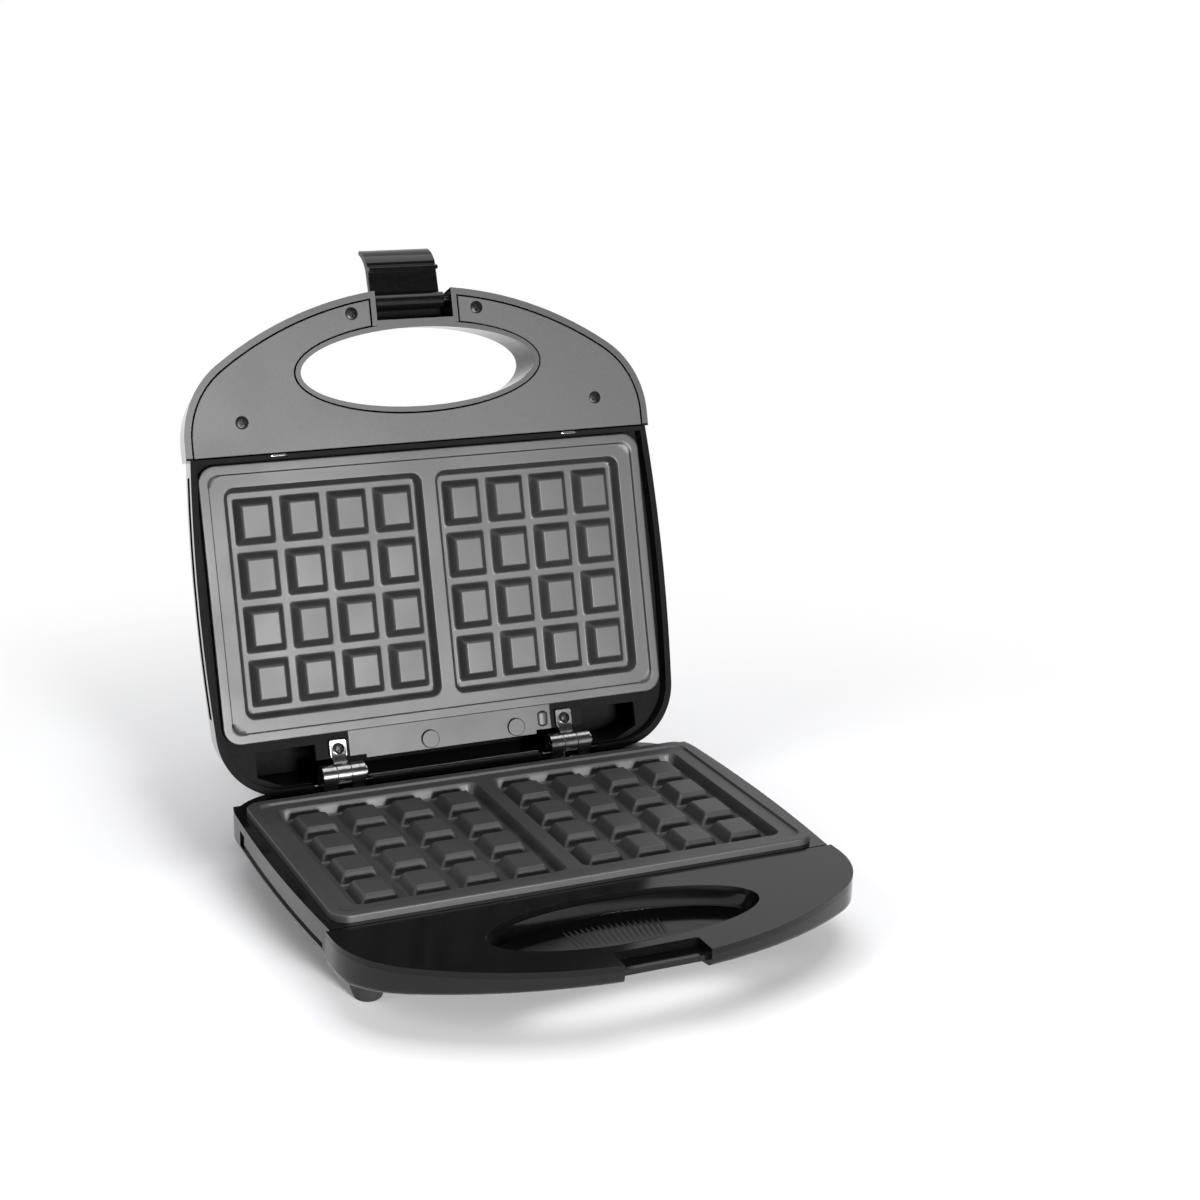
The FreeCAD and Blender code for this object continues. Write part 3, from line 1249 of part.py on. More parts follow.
def hank_nodes():
    """Points and headings round the tied hank, from its lower left end to its upper right end."""
    bend, fold, waist = (number(k) for k in ("hank_bend", "hank_fold", "hank_waist"))
    end = 2 * number("cord_r")
    reach = math.sqrt((bend + fold) ** 2 - (bend + waist) ** 2)
    sine, cosine = reach / (bend + fold), (bend + waist) / (bend + fold)
    start = lead_points()[-1]
    middle = Vector(start.x + reach + fold, start.y + end, 0)
    _, low, high = lead_heights()
    join = (reach - fold * sine, fold * cosine)

    def spot(x, y, z, hx, hy, hz=0.0):
        return middle + Vector(x, y, z), Vector(hx, hy, hz).normalize()

    def upper_run(z):
        first, last = spot(-join[0], join[1], z, cosine, -sine), spot(*join, z, cosine, sine)
        return [first, spot(0, waist, z, 1, 0), last]

    def right_fold(z):
        return [
            spot(reach, fold, z, 1, 0), spot(reach + fold, 0, z, 0, -1), spot(reach, -fold, z, -1, 0),
            spot(join[0], -join[1], z, -cosine, sine),
        ]

    climb = [
        spot(0, -waist, (low + high) / 2, -1, 0, number("hank_layer") / bend),
        spot(-join[0], -join[1], high, -cosine, -sine),
    ]
    left_fold = [spot(-reach, -fold, high, -1, 0), spot(-reach - fold, 0, high, 0, 1)]
    left_top = [spot(-reach, fold, z, 1, 0) for z in (low, high)]
    nodes = [spot(-reach - fold, -end, low, 0, 1), spot(-reach - fold, 0, low, 0, 1), left_top[0]]
    nodes += upper_run(low) + right_fold(low) + climb + left_fold + [left_top[1]] + upper_run(high)
    nodes += [spot(reach, fold, high, 1, 0), spot(reach + number("hank_tail"), fold, high, 1, 0)]
    return nodes, middle


def make_lead():
    stretch = tube("power_cord", rounded_path(lead_points()), number("cord_r"))
    nodes, _ = hank_nodes()
    edges = []
    for (start, heading), (stop, leaving) in zip(nodes, nodes[1:]):
        if (heading - leaving).Length < 1e-9 and abs((stop - start).normalize().dot(heading) - 1) < 1e-9:
            edges.append(Part.LineSegment(start, stop).toShape())
        else:
            edges += biarc(start, heading, stop, leaving)
    gap = least_gap(edges, number("cord_r"))
    print("hank's least gap to itself", round(gap, 2))
    hank = tube("cord_hank", edges, number("cord_r"))
    return stretch, hank


def make_tie(name):
    """A flat band round the waist of the hank."""
    body = new_body(name)
    half_y = s.hank_waist + s.cord_r + s.tie_fit
    low = s.tie_t
    high = low + s.tie_fit * 2 + s.cord_r * 2 + s.hank_layer
    half_z, middle, corner = (high - low) / 2, (high + low) / 2, s.cord_r
    inner = round_rectangle(half_y, half_z, corner, 0, middle)
    outer = round_rectangle(half_y + s.tie_t, half_z + s.tie_t, corner + s.tie_t, 0, middle)
    pad(body, outlines(body, "YZ_Plane", [outer]), s.tie_w, both_ways=True)
    pocket(body, outlines(body, "YZ_Plane", [inner]), s.tie_w * 2, both_ways=True)
    return body


def make_plug(name):
    """A right-angled plug on its back: a round grip with two flats, and a sleeve where the lead comes in."""
    turned = new_body(name + "_turned")
    r, h = s.plug_r, s.plug_h
    grip, turn, edge = r - s.plug_waist, s.plug_round, s.plug_edge
    neck = h - s.plug_head
    profile = [
        (0, 0), (grip - turn, 0), (grip, turn, turn), (grip, neck - s.plug_waist), (r, neck),
        (r, h - edge), (r - edge, h, edge), (0, h),
    ]
    revolve(turned, outlines(turned, "XZ_Plane", [profile]))
    flats = [rectangle(-r, r, (r - s.plug_flat) * k, (r + s.plug_flat) * k) for k in (1, -1)]
    pocket(turned, outlines(turned, "XY_Plane", flats, h), s.plug_head)
    sleeve = doc.addObject("Part::Cone", name + "_sleeve")
    bind(sleeve, "Radius1", s.cord_r + s.sleeve_wall)
    bind(sleeve, "Radius2", s.cord_r + s.sleeve_root)
    bind(sleeve, "Height", s.plug_sleeve + s.plug_r / 2)
    sleeve.Placement = Placement(Vector(0, 0, 0), along_x)
    bind(sleeve, "Placement.Base.x", -s.plug_r - s.plug_sleeve)
    bind(sleeve, "Placement.Base.z", s.tie_t + s.tie_fit + s.cord_r + s.hank_layer)
    return boolean("Fuse", name, turned, [sleeve])


def make_plug_pins(name):
    body = new_body(name)
    spots = [(s.plug_pin_gap / 2 * k, 0) for k in (1, -1)]
    pins = pad(body, circles(body, "XY_Plane", spots, s.plug_pin_r, s.plug_h), s.plug_pin_len)
    top = (s.plug_h + s.plug_pin_len).value
    fillet(body, pins, lambda shape, edge: edge.CenterOfMass.z > top - 0.01, s.plug_pin_r / 2)
    return body


# Assembly: everything in its place, with the lid open and the latch swung out

def turn_about(y, z, angle):
    """A swing about a line along x."""
    return Placement(Vector(0, 0, 0), Rotation(Vector(1, 0, 0), angle), Vector(0, y, z))


to_origin = Placement(Vector(0, number("origin_y"), number("base_h")), Rotation())
lid_open = turn_about(number("hinge_y"), number("hinge_z"), -number("open_angle"))
latch_out = turn_about(number("latch_y"), number("latch_z"), -number("latch_angle"))
on_base = to_origin
on_lid = to_origin * lid_open
on_latch = on_lid * latch_out
face_down = Placement(Vector(0, 0, number("closing_gap")), Rotation(Vector(0, 1, 0), 180))
upper = on_lid * face_down
base_cover = on_base * Placement(Vector(0, 0, deck_z.value - number("cover_t")), Rotation())
lid_cover = on_lid * Placement(Vector(0, 0, (lid_rim_z + s.cover_t).value), Rotation(Vector(0, 1, 0), 180))


def moved(x, y, z, turn=None):
    return Placement(Vector(x, y, z), turn or Rotation())


def place(label, piece, placement):
    piece.Label = label
    piece.Placement = placement
    return label, piece


def assemble():
    plate_back = -number("tray_depth") - number("plate_wall")
    pieces = [
        place("base_shell", make_base_shell(), on_base),
        place("base_handle_cover", make_base_cover("base_handle_cover"), base_cover),
        place("base_cover_screws", make_base_cover_screws("base_cover_screws"), base_cover),
        place("lid_shell", make_lid_shell(), on_lid),
        place("lid_handle_cover", make_lid_cover("lid_handle_cover"), lid_cover),
        place("lid_cover_screws", make_lid_cover_screws("lid_cover_screws"), lid_cover),
        place("thermostat", make_thermostat("thermostat"),
              upper * moved(0, number("thermostat_y"), plate_back)),
        place("thermal_fuse", make_fuse("thermal_fuse"),
              upper * moved(0, number("fuse_y"), plate_back - number("fuse_r"))),
    ]
    for half, spot in (("lower", on_base), ("upper", upper)):
        for thing, maker in (
            ("plate", make_plate), ("plate_screws", make_plate_screws), ("heating_element", make_element),
            ("element_straps", make_straps), ("heat_shield", make_shield),
        ):
            pieces.append(place(f"{half}_{thing}", maker(f"{half}_{thing}"), spot))
    pieces += [
        place("base_hinge_brackets", make_base_brackets("base_hinge_brackets"), on_base),
        place("base_hinge_screws", make_hinge_screws(
            "base_hinge_screws", base_bracket_screws(), s.ledge_z + s.bracket_t / 2, False), on_base),
        place("hinge_pins", make_hinge_pins("hinge_pins"), on_base),
        place("lid_hinge_brackets", make_lid_brackets("lid_hinge_brackets"), on_lid),
        place("lid_hinge_screws", make_hinge_screws(
            "lid_hinge_screws", lid_bracket_screws(), lid_deck_z - s.bracket_t, True), on_lid),
        place("rear_pads", make_rear_pads("rear_pads"), on_lid),
        place("latch_pin", make_latch_pin("latch_pin"), on_lid),
        place("latch_clip", make_latch("latch_clip"), on_latch),
        place("lens_bezel", make_bezel("lens_bezel"), on_lid),
        place("red_lens", make_lens("red_lens", -1), on_lid),
        place("green_lens", make_lens("green_lens", 1), on_lid),
        place("lamp_holder", make_lamp_holder("lamp_holder"), on_lid),
        place("indicator_lamps", make_lamps("indicator_lamps"), on_lid),
        place("terminal_block", make_terminal_block("terminal_block"), on_base),
    ]
    for name, x, y, seat in feet_at:
        pieces.append(place(name, make_foot(name, seat), on_base * moved(x.value, y.value, 0)))
    stretch, hank = make_lead()
    nodes, hank_mid = hank_nodes()
    floor = -number("base_h")
    lead_end = nodes[-1][0]
    plug_at = moved(lead_end.x + number("plug_sleeve") + number("plug_r"), lead_end.y, floor)
    gland_at = moved(number("gland_x"), number("rear_y"), number("gland_z"))
    pieces += [
        place("cord_gland", make_gland("cord_gland"), on_base * gland_at),
        place("power_cord", stretch, on_base),
        place("cord_hank", hank, on_base),
        place("cord_tie", make_tie("cord_tie"), on_base * moved(hank_mid.x, hank_mid.y, floor)),
        place("plug_body", make_plug("plug_body"), on_base * plug_at),
        place("plug_pins", make_plug_pins("plug_pins"), on_base * plug_at),
    ]
    return pieces


pieces = assemble()
doc.recompute()
for obj in doc.Objects:
    if "Invalid" in obj.State or "Error" in obj.State:
        raise RuntimeError(f"{obj.Label} failed: {obj.State}")
for label, piece in pieces:
    if piece.Shape.isNull() or not piece.Shape.isValid() or not piece.Shape.Solids:
        raise RuntimeError(f"{label} has no valid solid")
os.makedirs("parts", exist_ok=True)
for label, piece in pieces:
    piece.Shape.exportStep(f"parts/{label}.step")
print(len(pieces), "pieces written")
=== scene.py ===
"""Two-slice waffle maker, open: finishes, waffle plates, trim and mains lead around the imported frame.

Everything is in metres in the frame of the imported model: +X to the right, +Y to the back, +Z up. Sizes that
the frame doesn't give are written in millimetres and turned to metres by MM.
"""
import json
import math
import bmesh
import bpy
import numpy as np
from mathutils import Matrix, Vector


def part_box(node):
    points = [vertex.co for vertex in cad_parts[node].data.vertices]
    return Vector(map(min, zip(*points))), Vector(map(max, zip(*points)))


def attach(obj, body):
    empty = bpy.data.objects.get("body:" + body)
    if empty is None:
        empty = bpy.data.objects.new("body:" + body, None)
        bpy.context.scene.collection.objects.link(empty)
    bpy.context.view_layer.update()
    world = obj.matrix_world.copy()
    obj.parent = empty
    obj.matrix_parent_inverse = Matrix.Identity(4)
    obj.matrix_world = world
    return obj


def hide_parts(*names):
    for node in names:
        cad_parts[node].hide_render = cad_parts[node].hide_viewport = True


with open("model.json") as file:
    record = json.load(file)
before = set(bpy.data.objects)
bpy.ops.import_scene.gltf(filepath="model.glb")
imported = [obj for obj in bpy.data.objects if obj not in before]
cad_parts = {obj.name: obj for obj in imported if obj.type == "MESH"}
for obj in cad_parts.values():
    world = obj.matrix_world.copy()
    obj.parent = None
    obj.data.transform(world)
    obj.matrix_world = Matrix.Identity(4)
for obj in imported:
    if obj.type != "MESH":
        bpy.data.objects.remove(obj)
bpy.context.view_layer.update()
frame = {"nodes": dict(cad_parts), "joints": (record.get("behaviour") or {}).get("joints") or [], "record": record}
MM = 0.001
joints = {joint["name"]: joint for joint in frame["joints"]}
node_slots = {part["node"]: part["material_slot"] for part in frame["record"]["subparts"]}
bodies = frame["record"]["behaviour"]["bodies"]
node_bodies = {node: body for body, nodes in bodies.items() for node in nodes}


# Places of the base and the open lid, measured from the middle of the closed plates

hinge_at = Vector(joints["lid_hinge"]["pos_m"])
open_angle = math.radians(joints["lid_hinge"]["range_deg"][1])
lid_turn = Matrix.Rotation(-open_angle, 4, "X")
lid_swing = Matrix.Translation(hinge_at) @ lid_turn @ Matrix.Translation(-hinge_at)
plate_low, plate_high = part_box("lower_plate")
plates_at = Vector(((plate_low.x + plate_high.x) / 2, (plate_low.y + plate_high.y) / 2, plate_high.z))
base_at = Matrix.Translation(plates_at)
lid_at = lid_swing @ base_at


# Camera at the photograph's place, measured from the middle of the plates

CAMERA_AT = Vector((-358.66, -811.415, 374.651)) * MM
CAMERA_AZIMUTH, CAMERA_ELEVATION, CAMERA_ROLL = (math.radians(a) for a in (-25.701, 17.205, 1.607))
FOCAL_PIXELS, PHOTO_PIXELS, SENSOR = 2222.255, 1200, 36.0


def make_camera():
    """A camera that looks along its azimuth and elevation, rolled about its own line of sight."""
    az, el, roll = CAMERA_AZIMUTH, CAMERA_ELEVATION, CAMERA_ROLL
    back = Vector((math.sin(az) * math.cos(el), -math.cos(az) * math.cos(el), math.sin(el)))
    right = Vector((0, 0, 1)).cross(back).normalized()
    up = back.cross(right)
    turned_right = right * math.cos(roll) + up * math.sin(roll)
    turned_up = up * math.cos(roll) - right * math.sin(roll)
    data = bpy.data.cameras.new("photo_camera")
    data.sensor_width = SENSOR
    data.lens = SENSOR * (FOCAL_PIXELS / PHOTO_PIXELS)
    camera = bpy.data.objects.new("photo_camera", data)
    axes = Matrix((turned_right, turned_up, back)).transposed().to_4x4()
    camera.matrix_world = Matrix.Translation(plates_at + CAMERA_AT) @ axes
    bpy.context.scene.collection.objects.link(camera)
    bpy.context.scene.camera = camera


make_camera()


# Studio: each lamp has a name, a place, a point that it faces, a size in metres and a power in watts

FLOOR_HALF = 8.0
SKY_COLOUR, WHITE = (0.97, 0.98, 1.0, 1), (1, 1, 1, 1)
SKY_RISE, SKY_LEVELS, WHITE_RISE = (-0.45, 0.55), (0.04, 0.58), (0.1, 0.6)
LAMPS = (
    ("front", (0.11, -1.95, 0.33), (0.0, 0.09, 0.13), (0.36, 0.5), 92),
    ("left", (-2.0, -0.5, 1.3), (0.0, 0.0, 0.05), (0.9, 1.2), 16),
    ("above", (0.15, 0.15, 2.0), (0.0, 0.0, 0.0), (1.7, 1.7), 22),
)


def make_floor():
    """A wide flat pale sheet under the object."""
    line = np.linspace(-FLOOR_HALF, FLOOR_HALF, 3)
    x, y = np.meshgrid(line, line)
    points = np.stack([x, y, np.zeros_like(x)], axis=-1)
    floor = mesh_piece("studio_floor", points, grid_faces(3, 3).tolist())
    floor.data.materials.append(floor_finish())


def make_lamp(name, at, aim, size, power):
    """A rectangular soft light that faces a point."""
    data = bpy.data.lights.new(name, "AREA")
    data.shape = "RECTANGLE"
    data.size, data.size_y = size
    data.energy = power
    light = bpy.data.objects.new(name, data)
    light.location = at
    light.rotation_euler = (Vector(aim) - Vector(at)).to_track_quat("-Z", "Y").to_euler()
    bpy.context.scene.collection.objects.link(light)


def make_studio():
    """A sky that rises from dim in front of the object to pale behind it, with the soft lamps.

    The camera sees plain white instead of it all round, and mirrored rays see white behind the object.
    """
    world = bpy.data.worlds.new("studio")
    bpy.context.scene.world = world
    world.use_nodes = True
    tree = world.node_tree
    parts = tree.nodes.new("ShaderNodeSeparateXYZ")
    tree.links.new(tree.nodes.new("ShaderNodeTexCoord").outputs["Generated"], parts.inputs[0])
    sky = tree.nodes["Background"]
    sky.inputs["Color"].default_value = SKY_COLOUR
    tree.links.new(spread(tree, parts.outputs["Y"], *SKY_RISE, *SKY_LEVELS), sky.inputs["Strength"])
    white = tree.nodes.new("ShaderNodeBackground")
    white.inputs["Color"].default_value = WHITE
    white.inputs["Strength"].default_value = 1.0
    direct, mirrored = ray_kinds(tree)
    behind = combine(tree, "MULTIPLY", mirrored, spread(tree, parts.outputs["Y"], *WHITE_RISE, 0, 1))
    mix_shaders(tree, combine(tree, "MAXIMUM", direct, behind), sky, white, "World Output")
    for values in LAMPS:
        make_lamp(*values)
    bpy.context.scene.view_settings.view_transform = "Standard"


# Node helpers for the finishes

NOISE_DETAIL = 2.0


def new_finish(name):
    """A material with one shader; returns the material, its node tree, the shader and object coordinates."""
    material = bpy.data.materials.new(name)
    material.use_nodes = True
    tree = material.node_tree
    shader = tree.nodes["Principled BSDF"]
    coords = tree.nodes.new("ShaderNodeTexCoord").outputs["Object"]
    return material, tree, shader, coords


def noise(tree, coords, scale, rough=0.5, stretch=None):
    """Noise over the object's own coordinates, stretched by a scale along each axis if asked."""
    if stretch is not None:
        mapping = tree.nodes.new("ShaderNodeMapping")
        mapping.inputs["Scale"].default_value = stretch
        tree.links.new(coords, mapping.inputs["Vector"])
        coords = mapping.outputs["Vector"]
    node = tree.nodes.new("ShaderNodeTexNoise")
    node.inputs["Scale"].default_value = scale
    node.inputs["Detail"].default_value = NOISE_DETAIL
    node.inputs["Roughness"].default_value = rough
    tree.links.new(coords, node.inputs["Vector"])
    return node.outputs["Fac"]


def spread(tree, value, low, high, to_low, to_high):
    """A value carried from one range to another, easing in and out at the ends."""
    node = tree.nodes.new("ShaderNodeMapRange")
    node.interpolation_type = "SMOOTHSTEP"
    tree.links.new(value, node.inputs["Value"])
    numbers = {"From Min": low, "From Max": high, "To Min": to_low, "To Max": to_high}
    for label, number in numbers.items():
        node.inputs[label].default_value = number
    return node.outputs["Result"]


def combine(tree, operation, first, second):
    """Two values put together by one step of arithmetic."""
    node = tree.nodes.new("ShaderNodeMath")
    node.operation = operation
    tree.links.new(first, node.inputs[0])
    tree.links.new(second, node.inputs[1])
    return node.outputs[0]


def ray_kinds(tree):
    """Whether a ray comes straight from the camera, and whether it comes by a gloss or clear surface."""
    path = tree.nodes.new("ShaderNodeLightPath").outputs
    return path["Is Camera Ray"], combine(tree, "MAXIMUM", path["Is Glossy Ray"], path["Is Transmission Ray"])


def mix_shaders(tree, share, first, second, output):
    """Two shaders mixed by a share and led to the tree's output."""
    mix = tree.nodes.new("ShaderNodeMixShader")
    tree.links.new(share, mix.inputs[0])
    tree.links.new(first.outputs[0], mix.inputs[1])
    tree.links.new(second.outputs[0], mix.inputs[2])
    tree.links.new(mix.outputs[0], tree.nodes[output].inputs["Surface"])


def blend_colour(tree, value, low, high):
    """Two colours mixed by a value."""
    blend = tree.nodes.new("ShaderNodeValToRGB")
    blend.color_ramp.elements[0].color = (*low, 1)
    blend.color_ramp.elements[1].color = (*high, 1)
    tree.links.new(value, blend.inputs["Fac"])
    return blend.outputs["Color"]


def bump(tree, shader, height, distance):
    """A fine relief on a shader, as deep as a distance in metres."""
    node = tree.nodes.new("ShaderNodeBump")
    node.inputs["Strength"].default_value = 1.0
    node.inputs["Distance"].default_value = distance
    tree.links.new(height, node.inputs["Height"])
    tree.links.new(node.outputs["Normal"], shader.inputs["Normal"])


# Finishes: every colour is a pair, its darkest and its lightest specks

DEEP_BLACK = (0.0022, 0.0022, 0.0024), (0.0036, 0.0036, 0.0038)
SCREW_BLACK = (0.004, 0.004, 0.004), (0.008, 0.008, 0.008)
COATING_BLACK = (0.005, 0.005, 0.0055), (0.011, 0.011, 0.0115)
CORD_BLACK = (0.008, 0.008, 0.009), (0.014, 0.014, 0.015)
RUBBER_BLACK = (0.008, 0.008, 0.008), (0.018, 0.018, 0.018)
# A dark grey, lighter than the base cover's black, that paints a lamp's sheen on the lid's handle cover
COVER_PAINTED_SHEEN_GREY = (0.022, 0.022, 0.023), (0.032, 0.032, 0.033)
SHEATH_BROWN = (0.12, 0.10, 0.09), (0.26, 0.23, 0.20)
STEEL_GREY = (0.21, 0.21, 0.215), (0.30, 0.30, 0.30)
SHEET_GREY = (0.62, 0.62, 0.64), (0.74, 0.74, 0.75)
NICKEL_GREY = (0.60, 0.58, 0.55), (0.72, 0.70, 0.67)
IVORY = (0.62, 0.60, 0.56), (0.74, 0.72, 0.68)
GLASS_WHITE = (0.75, 0.72, 0.66), (0.85, 0.82, 0.78)
LENS_RED = (0.48, 0.012, 0.010), (0.56, 0.018, 0.015)
LENS_GREEN = (0.009, 0.32, 0.22), (0.013, 0.38, 0.26)
FLOOR_WHITE = (0.86, 0.86, 0.87), (0.9, 0.9, 0.905)
SPECK_ROUGH, SPECK_RANGE = 0.6, (0.3, 0.7)
DRIFT_SCALE, DRIFT_ROUGH, DRIFT_RANGE = 35, 0.4, (0.25, 0.75)
COAT_ROUGH, MICRON = 0.06, 1e-6
FLOOR_GRAIN, FLOOR_ROUGH, FLOOR_SPECULAR, FLOOR_FADE = 3.0, 0.9, 0.1, (0.20, 0.50)
ROLLED = (1, 14, 14)


def finish(name, colours, rough, grain, relief, metallic=0.0, specular=0.5, coat=0.0, stretch=None):
    """Fine specks in the colour, a slow drift in the gloss and a shallow relief in microns."""
    material, tree, shader, coords = new_finish(name)
    specks = noise(tree, coords, grain, SPECK_ROUGH, stretch)
    drift = noise(tree, coords, DRIFT_SCALE, DRIFT_ROUGH)
    colour = blend_colour(tree, spread(tree, specks, *SPECK_RANGE, 0, 1), *colours)
    tree.links.new(colour, shader.inputs["Base Color"])
    tree.links.new(spread(tree, drift, *DRIFT_RANGE, *rough), shader.inputs["Roughness"])
    bump(tree, shader, specks, relief * MICRON)
    shader.inputs["Metallic"].default_value = metallic
    shader.inputs["Specular IOR Level"].default_value = specular
    shader.inputs["Coat Weight"].default_value = coat
    shader.inputs["Coat Roughness"].default_value = COAT_ROUGH
    return material


def floor_finish():
    """Pale paper that takes the shadow near the object and goes over to plain white further out."""
    material, tree, shader, coords = new_finish("pale_floor")
    colour = blend_colour(tree, noise(tree, coords, FLOOR_GRAIN), *FLOOR_WHITE)
    tree.links.new(colour, shader.inputs["Base Color"])
    shader.inputs["Roughness"].default_value = FLOOR_ROUGH
    shader.inputs["Specular IOR Level"].default_value = FLOOR_SPECULAR
    away = tree.nodes.new("ShaderNodeVectorMath")
    away.operation = "LENGTH"
    tree.links.new(coords, away.inputs[0])
    white = tree.nodes.new("ShaderNodeEmission")
    white.inputs["Strength"].default_value = 1.0
    seen = combine(tree, "MAXIMUM", *ray_kinds(tree))
    share = combine(tree, "MULTIPLY", seen, spread(tree, away.outputs["Value"], *FLOOR_FADE, 0, 1))
    mix_shaders(tree, share, shader, white, "Material Output")
    return material


def make_finishes():
    """Every finish by its slot in the record, with the satin, matt and gloss looks that some pieces have; the
    satin and matt looks are the casing's black with a raised specular level that paints sheen and a low one that
    paints shade.
    """
    return {
        "casing": finish("gloss_black_casing", DEEP_BLACK, (0.08, 0.12), 450, 2.0, specular=0.3),
        # Copies of the casing's black: the satin one's raised specular level paints sheen, the matt one's low
        # specular level paints shade
        "satin_painted_sheen_casing": finish("satin_black_painted_sheen", DEEP_BLACK, (0.50, 0.55), 450, 2.0, specular=0.75),
        "matt_painted_shade_casing": finish("matt_black_painted_shade", DEEP_BLACK, (0.73, 0.77), 450, 2.0, specular=0.1),
        # The lid's handle cover: a lighter grey and a raised specular level paint sheen; the base's cover takes
        # the gloss look in the casing's black
        "handle_cover": finish("satin_cover_painted_sheen", COVER_PAINTED_SHEEN_GREY, (0.50, 0.56), 1600, 6.0, specular=0.6),
        "non_stick": finish("non_stick_coating", COATING_BLACK, (0.50, 0.56), 2400, 5.0, specular=0.8),
        "steel": finish("plated_steel", STEEL_GREY, (0.17, 0.24), 900, 3.0, metallic=1.0),
        "sheet": finish("rolled_sheet", SHEET_GREY, (0.28, 0.42), 700, 4.0, metallic=1.0, stretch=ROLLED),
        "element": finish("heated_sheath", SHEATH_BROWN, (0.40, 0.55), 900, 8.0, metallic=1.0),
        "dark_screw": finish(
            "blackened_screw", SCREW_BLACK, (0.34, 0.44), 1500, 5.0, metallic=0.2, specular=0.25
        ),
        "latch": finish("gloss_black_latch", DEEP_BLACK, (0.14, 0.20), 500, 3.0, specular=0.3),
        "gloss_cover": finish("gloss_black_cover", DEEP_BLACK, (0.10, 0.15), 700, 2.0, specular=0.22),
        "bezel": finish("gloss_black_bezel", DEEP_BLACK, (0.08, 0.12), 500, 2.0),
        "red_lens": finish("red_lens", LENS_RED, (0.10, 0.16), 1400, 3.0, coat=0.6),
        "green_lens": finish("green_lens", LENS_GREEN, (0.10, 0.16), 1400, 3.0, coat=0.6),
        "inner_plastic": finish("inner_plastic", IVORY, (0.45, 0.6), 1200, 8.0),
        "lamp": finish("lamp_glass", GLASS_WHITE, (0.06, 0.12), 900, 2.0),
        "foot": finish("rubber_foot", RUBBER_BLACK, (0.60, 0.75), 2000, 14.0, specular=0.35),
        "cord": finish("cord_sheath", CORD_BLACK, (0.36, 0.46), 1600, 8.0),
        "plug": finish("plug_plastic", CORD_BLACK, (0.36, 0.46), 1800, 8.0),
        "plug_pin": finish("nickel_pin", NICKEL_GREY, (0.16, 0.28), 900, 3.0, metallic=1.0),
    }


# Mesh helpers: every new surface is worked out as whole arrays in millimetres, then placed in metres

MERGE, SOLID_MERGE, FLAT_ANGLE = 2e-7, 2e-6, math.radians(0.2)
EDGE_ANGLE, FORM_ANGLE, PLATE_ANGLE = 32.0, 40.0, 50.0
LATHE_TURNS = 64


def placed(points, place):
    """Points in millimetres carried by a place into the frame's metres."""
    matrix = np.array(place)
    return (np.asarray(points, float).reshape(-1, 3) * MM) @ matrix[:3, :3].T + matrix[:3, 3]


def vectors(items, key):
    """One vector for each vertex or face of a mesh, as an array."""
    values = np.empty(len(items) * 3)
    items.foreach_get(key, values)
    return values.reshape(-1, 3)


def grid_faces(rows, columns, wrap=False, start=0):
    """Quads between neighbouring points of a grid; a wrapped grid closes on itself along its columns."""
    index = start + np.arange(rows * columns).reshape(rows, columns)
    if wrap:
        index = np.concatenate([index, index[:, :1]], axis=1)
    corners = [index[:-1, :-1], index[:-1, 1:], index[1:, 1:], index[1:, :-1]]
    return np.stack(corners, axis=-1).reshape(-1, 4)


def mesh_piece(name, points, faces):
    """An object from vertices and faces, its doubles merged and its faces turned outwards."""
    work = bmesh.new()
    mesh = bpy.data.meshes.new(name)
    mesh.from_pydata(np.asarray(points).reshape(-1, 3), [], [list(face) for face in faces])
    work.from_mesh(mesh)
    bmesh.ops.remove_doubles(work, verts=work.verts, dist=MERGE)
    bmesh.ops.recalc_face_normals(work, faces=work.faces)
    work.to_mesh(mesh)
    work.free()
    piece = bpy.data.objects.new(name, mesh)
    bpy.context.scene.collection.objects.link(piece)
    return piece


def slab(top, bottom):
    """A closed slab between two grids: the upper face, the lower face and a skirt round their borders."""
    rows, columns = top.shape[:2]
    count = rows * columns
    index = np.arange(count).reshape(rows, columns)
    border = np.concatenate([index[0, :-1], index[:-1, -1], index[-1, :0:-1], index[:0:-1, 0]])
    after = np.roll(border, -1)
    skirt = np.stack([border, border + count, after + count, after], axis=-1)
    under = grid_faces(rows, columns, start=count)[:, ::-1]
    faces = np.concatenate([grid_faces(rows, columns), under, skirt])
    return np.concatenate([top.reshape(-1, 3), bottom.reshape(-1, 3)]), faces.tolist()


def tube(path, across, upward, profile, swell=None):
    """A closed profile carried along a path and capped at both ends.

    Each point of the path adds the profile's first number along its across direction and the second along its
    upward direction, both times its swell.
    """
    swell = np.ones(len(path)) if swell is None else swell
    sideways = profile[None, :, 0, None] * across[:, None, :]
    ring = sideways + profile[None, :, 1, None] * upward[:, None, :]
    grid = path[:, None, :] + ring * swell[:, None, None]
    rows, columns = grid.shape[:2]
    caps = [list(range(columns)), list(range((rows - 1) * columns, rows * columns))]
    return grid.reshape(-1, 3), grid_faces(rows, columns, wrap=True).tolist() + caps


def lathe(profile):
    """A profile of radius and height turned about the upright axis."""
    angle = np.linspace(0, 2 * np.pi, LATHE_TURNS, endpoint=False)
    ring = np.stack([np.cos(angle), np.sin(angle)], axis=-1)
    points = np.empty((len(profile), LATHE_TURNS, 3))
    points[..., :2] = profile[:, None, 0, None] * ring[None]
    points[..., 2] = profile[:, None, 1]
    return points.reshape(-1, 3), grid_faces(len(profile), LATHE_TURNS, wrap=True).tolist()


def joined(parts):
    """Several sets of points and faces as one."""
    points, faces, start = [], [], 0
    for spots, quads in parts:
        points.append(np.asarray(spots).reshape(-1, 3))
        faces += [[corner + start for corner in face] for face in quads]
        start += len(points[-1])
    return np.concatenate(points), faces


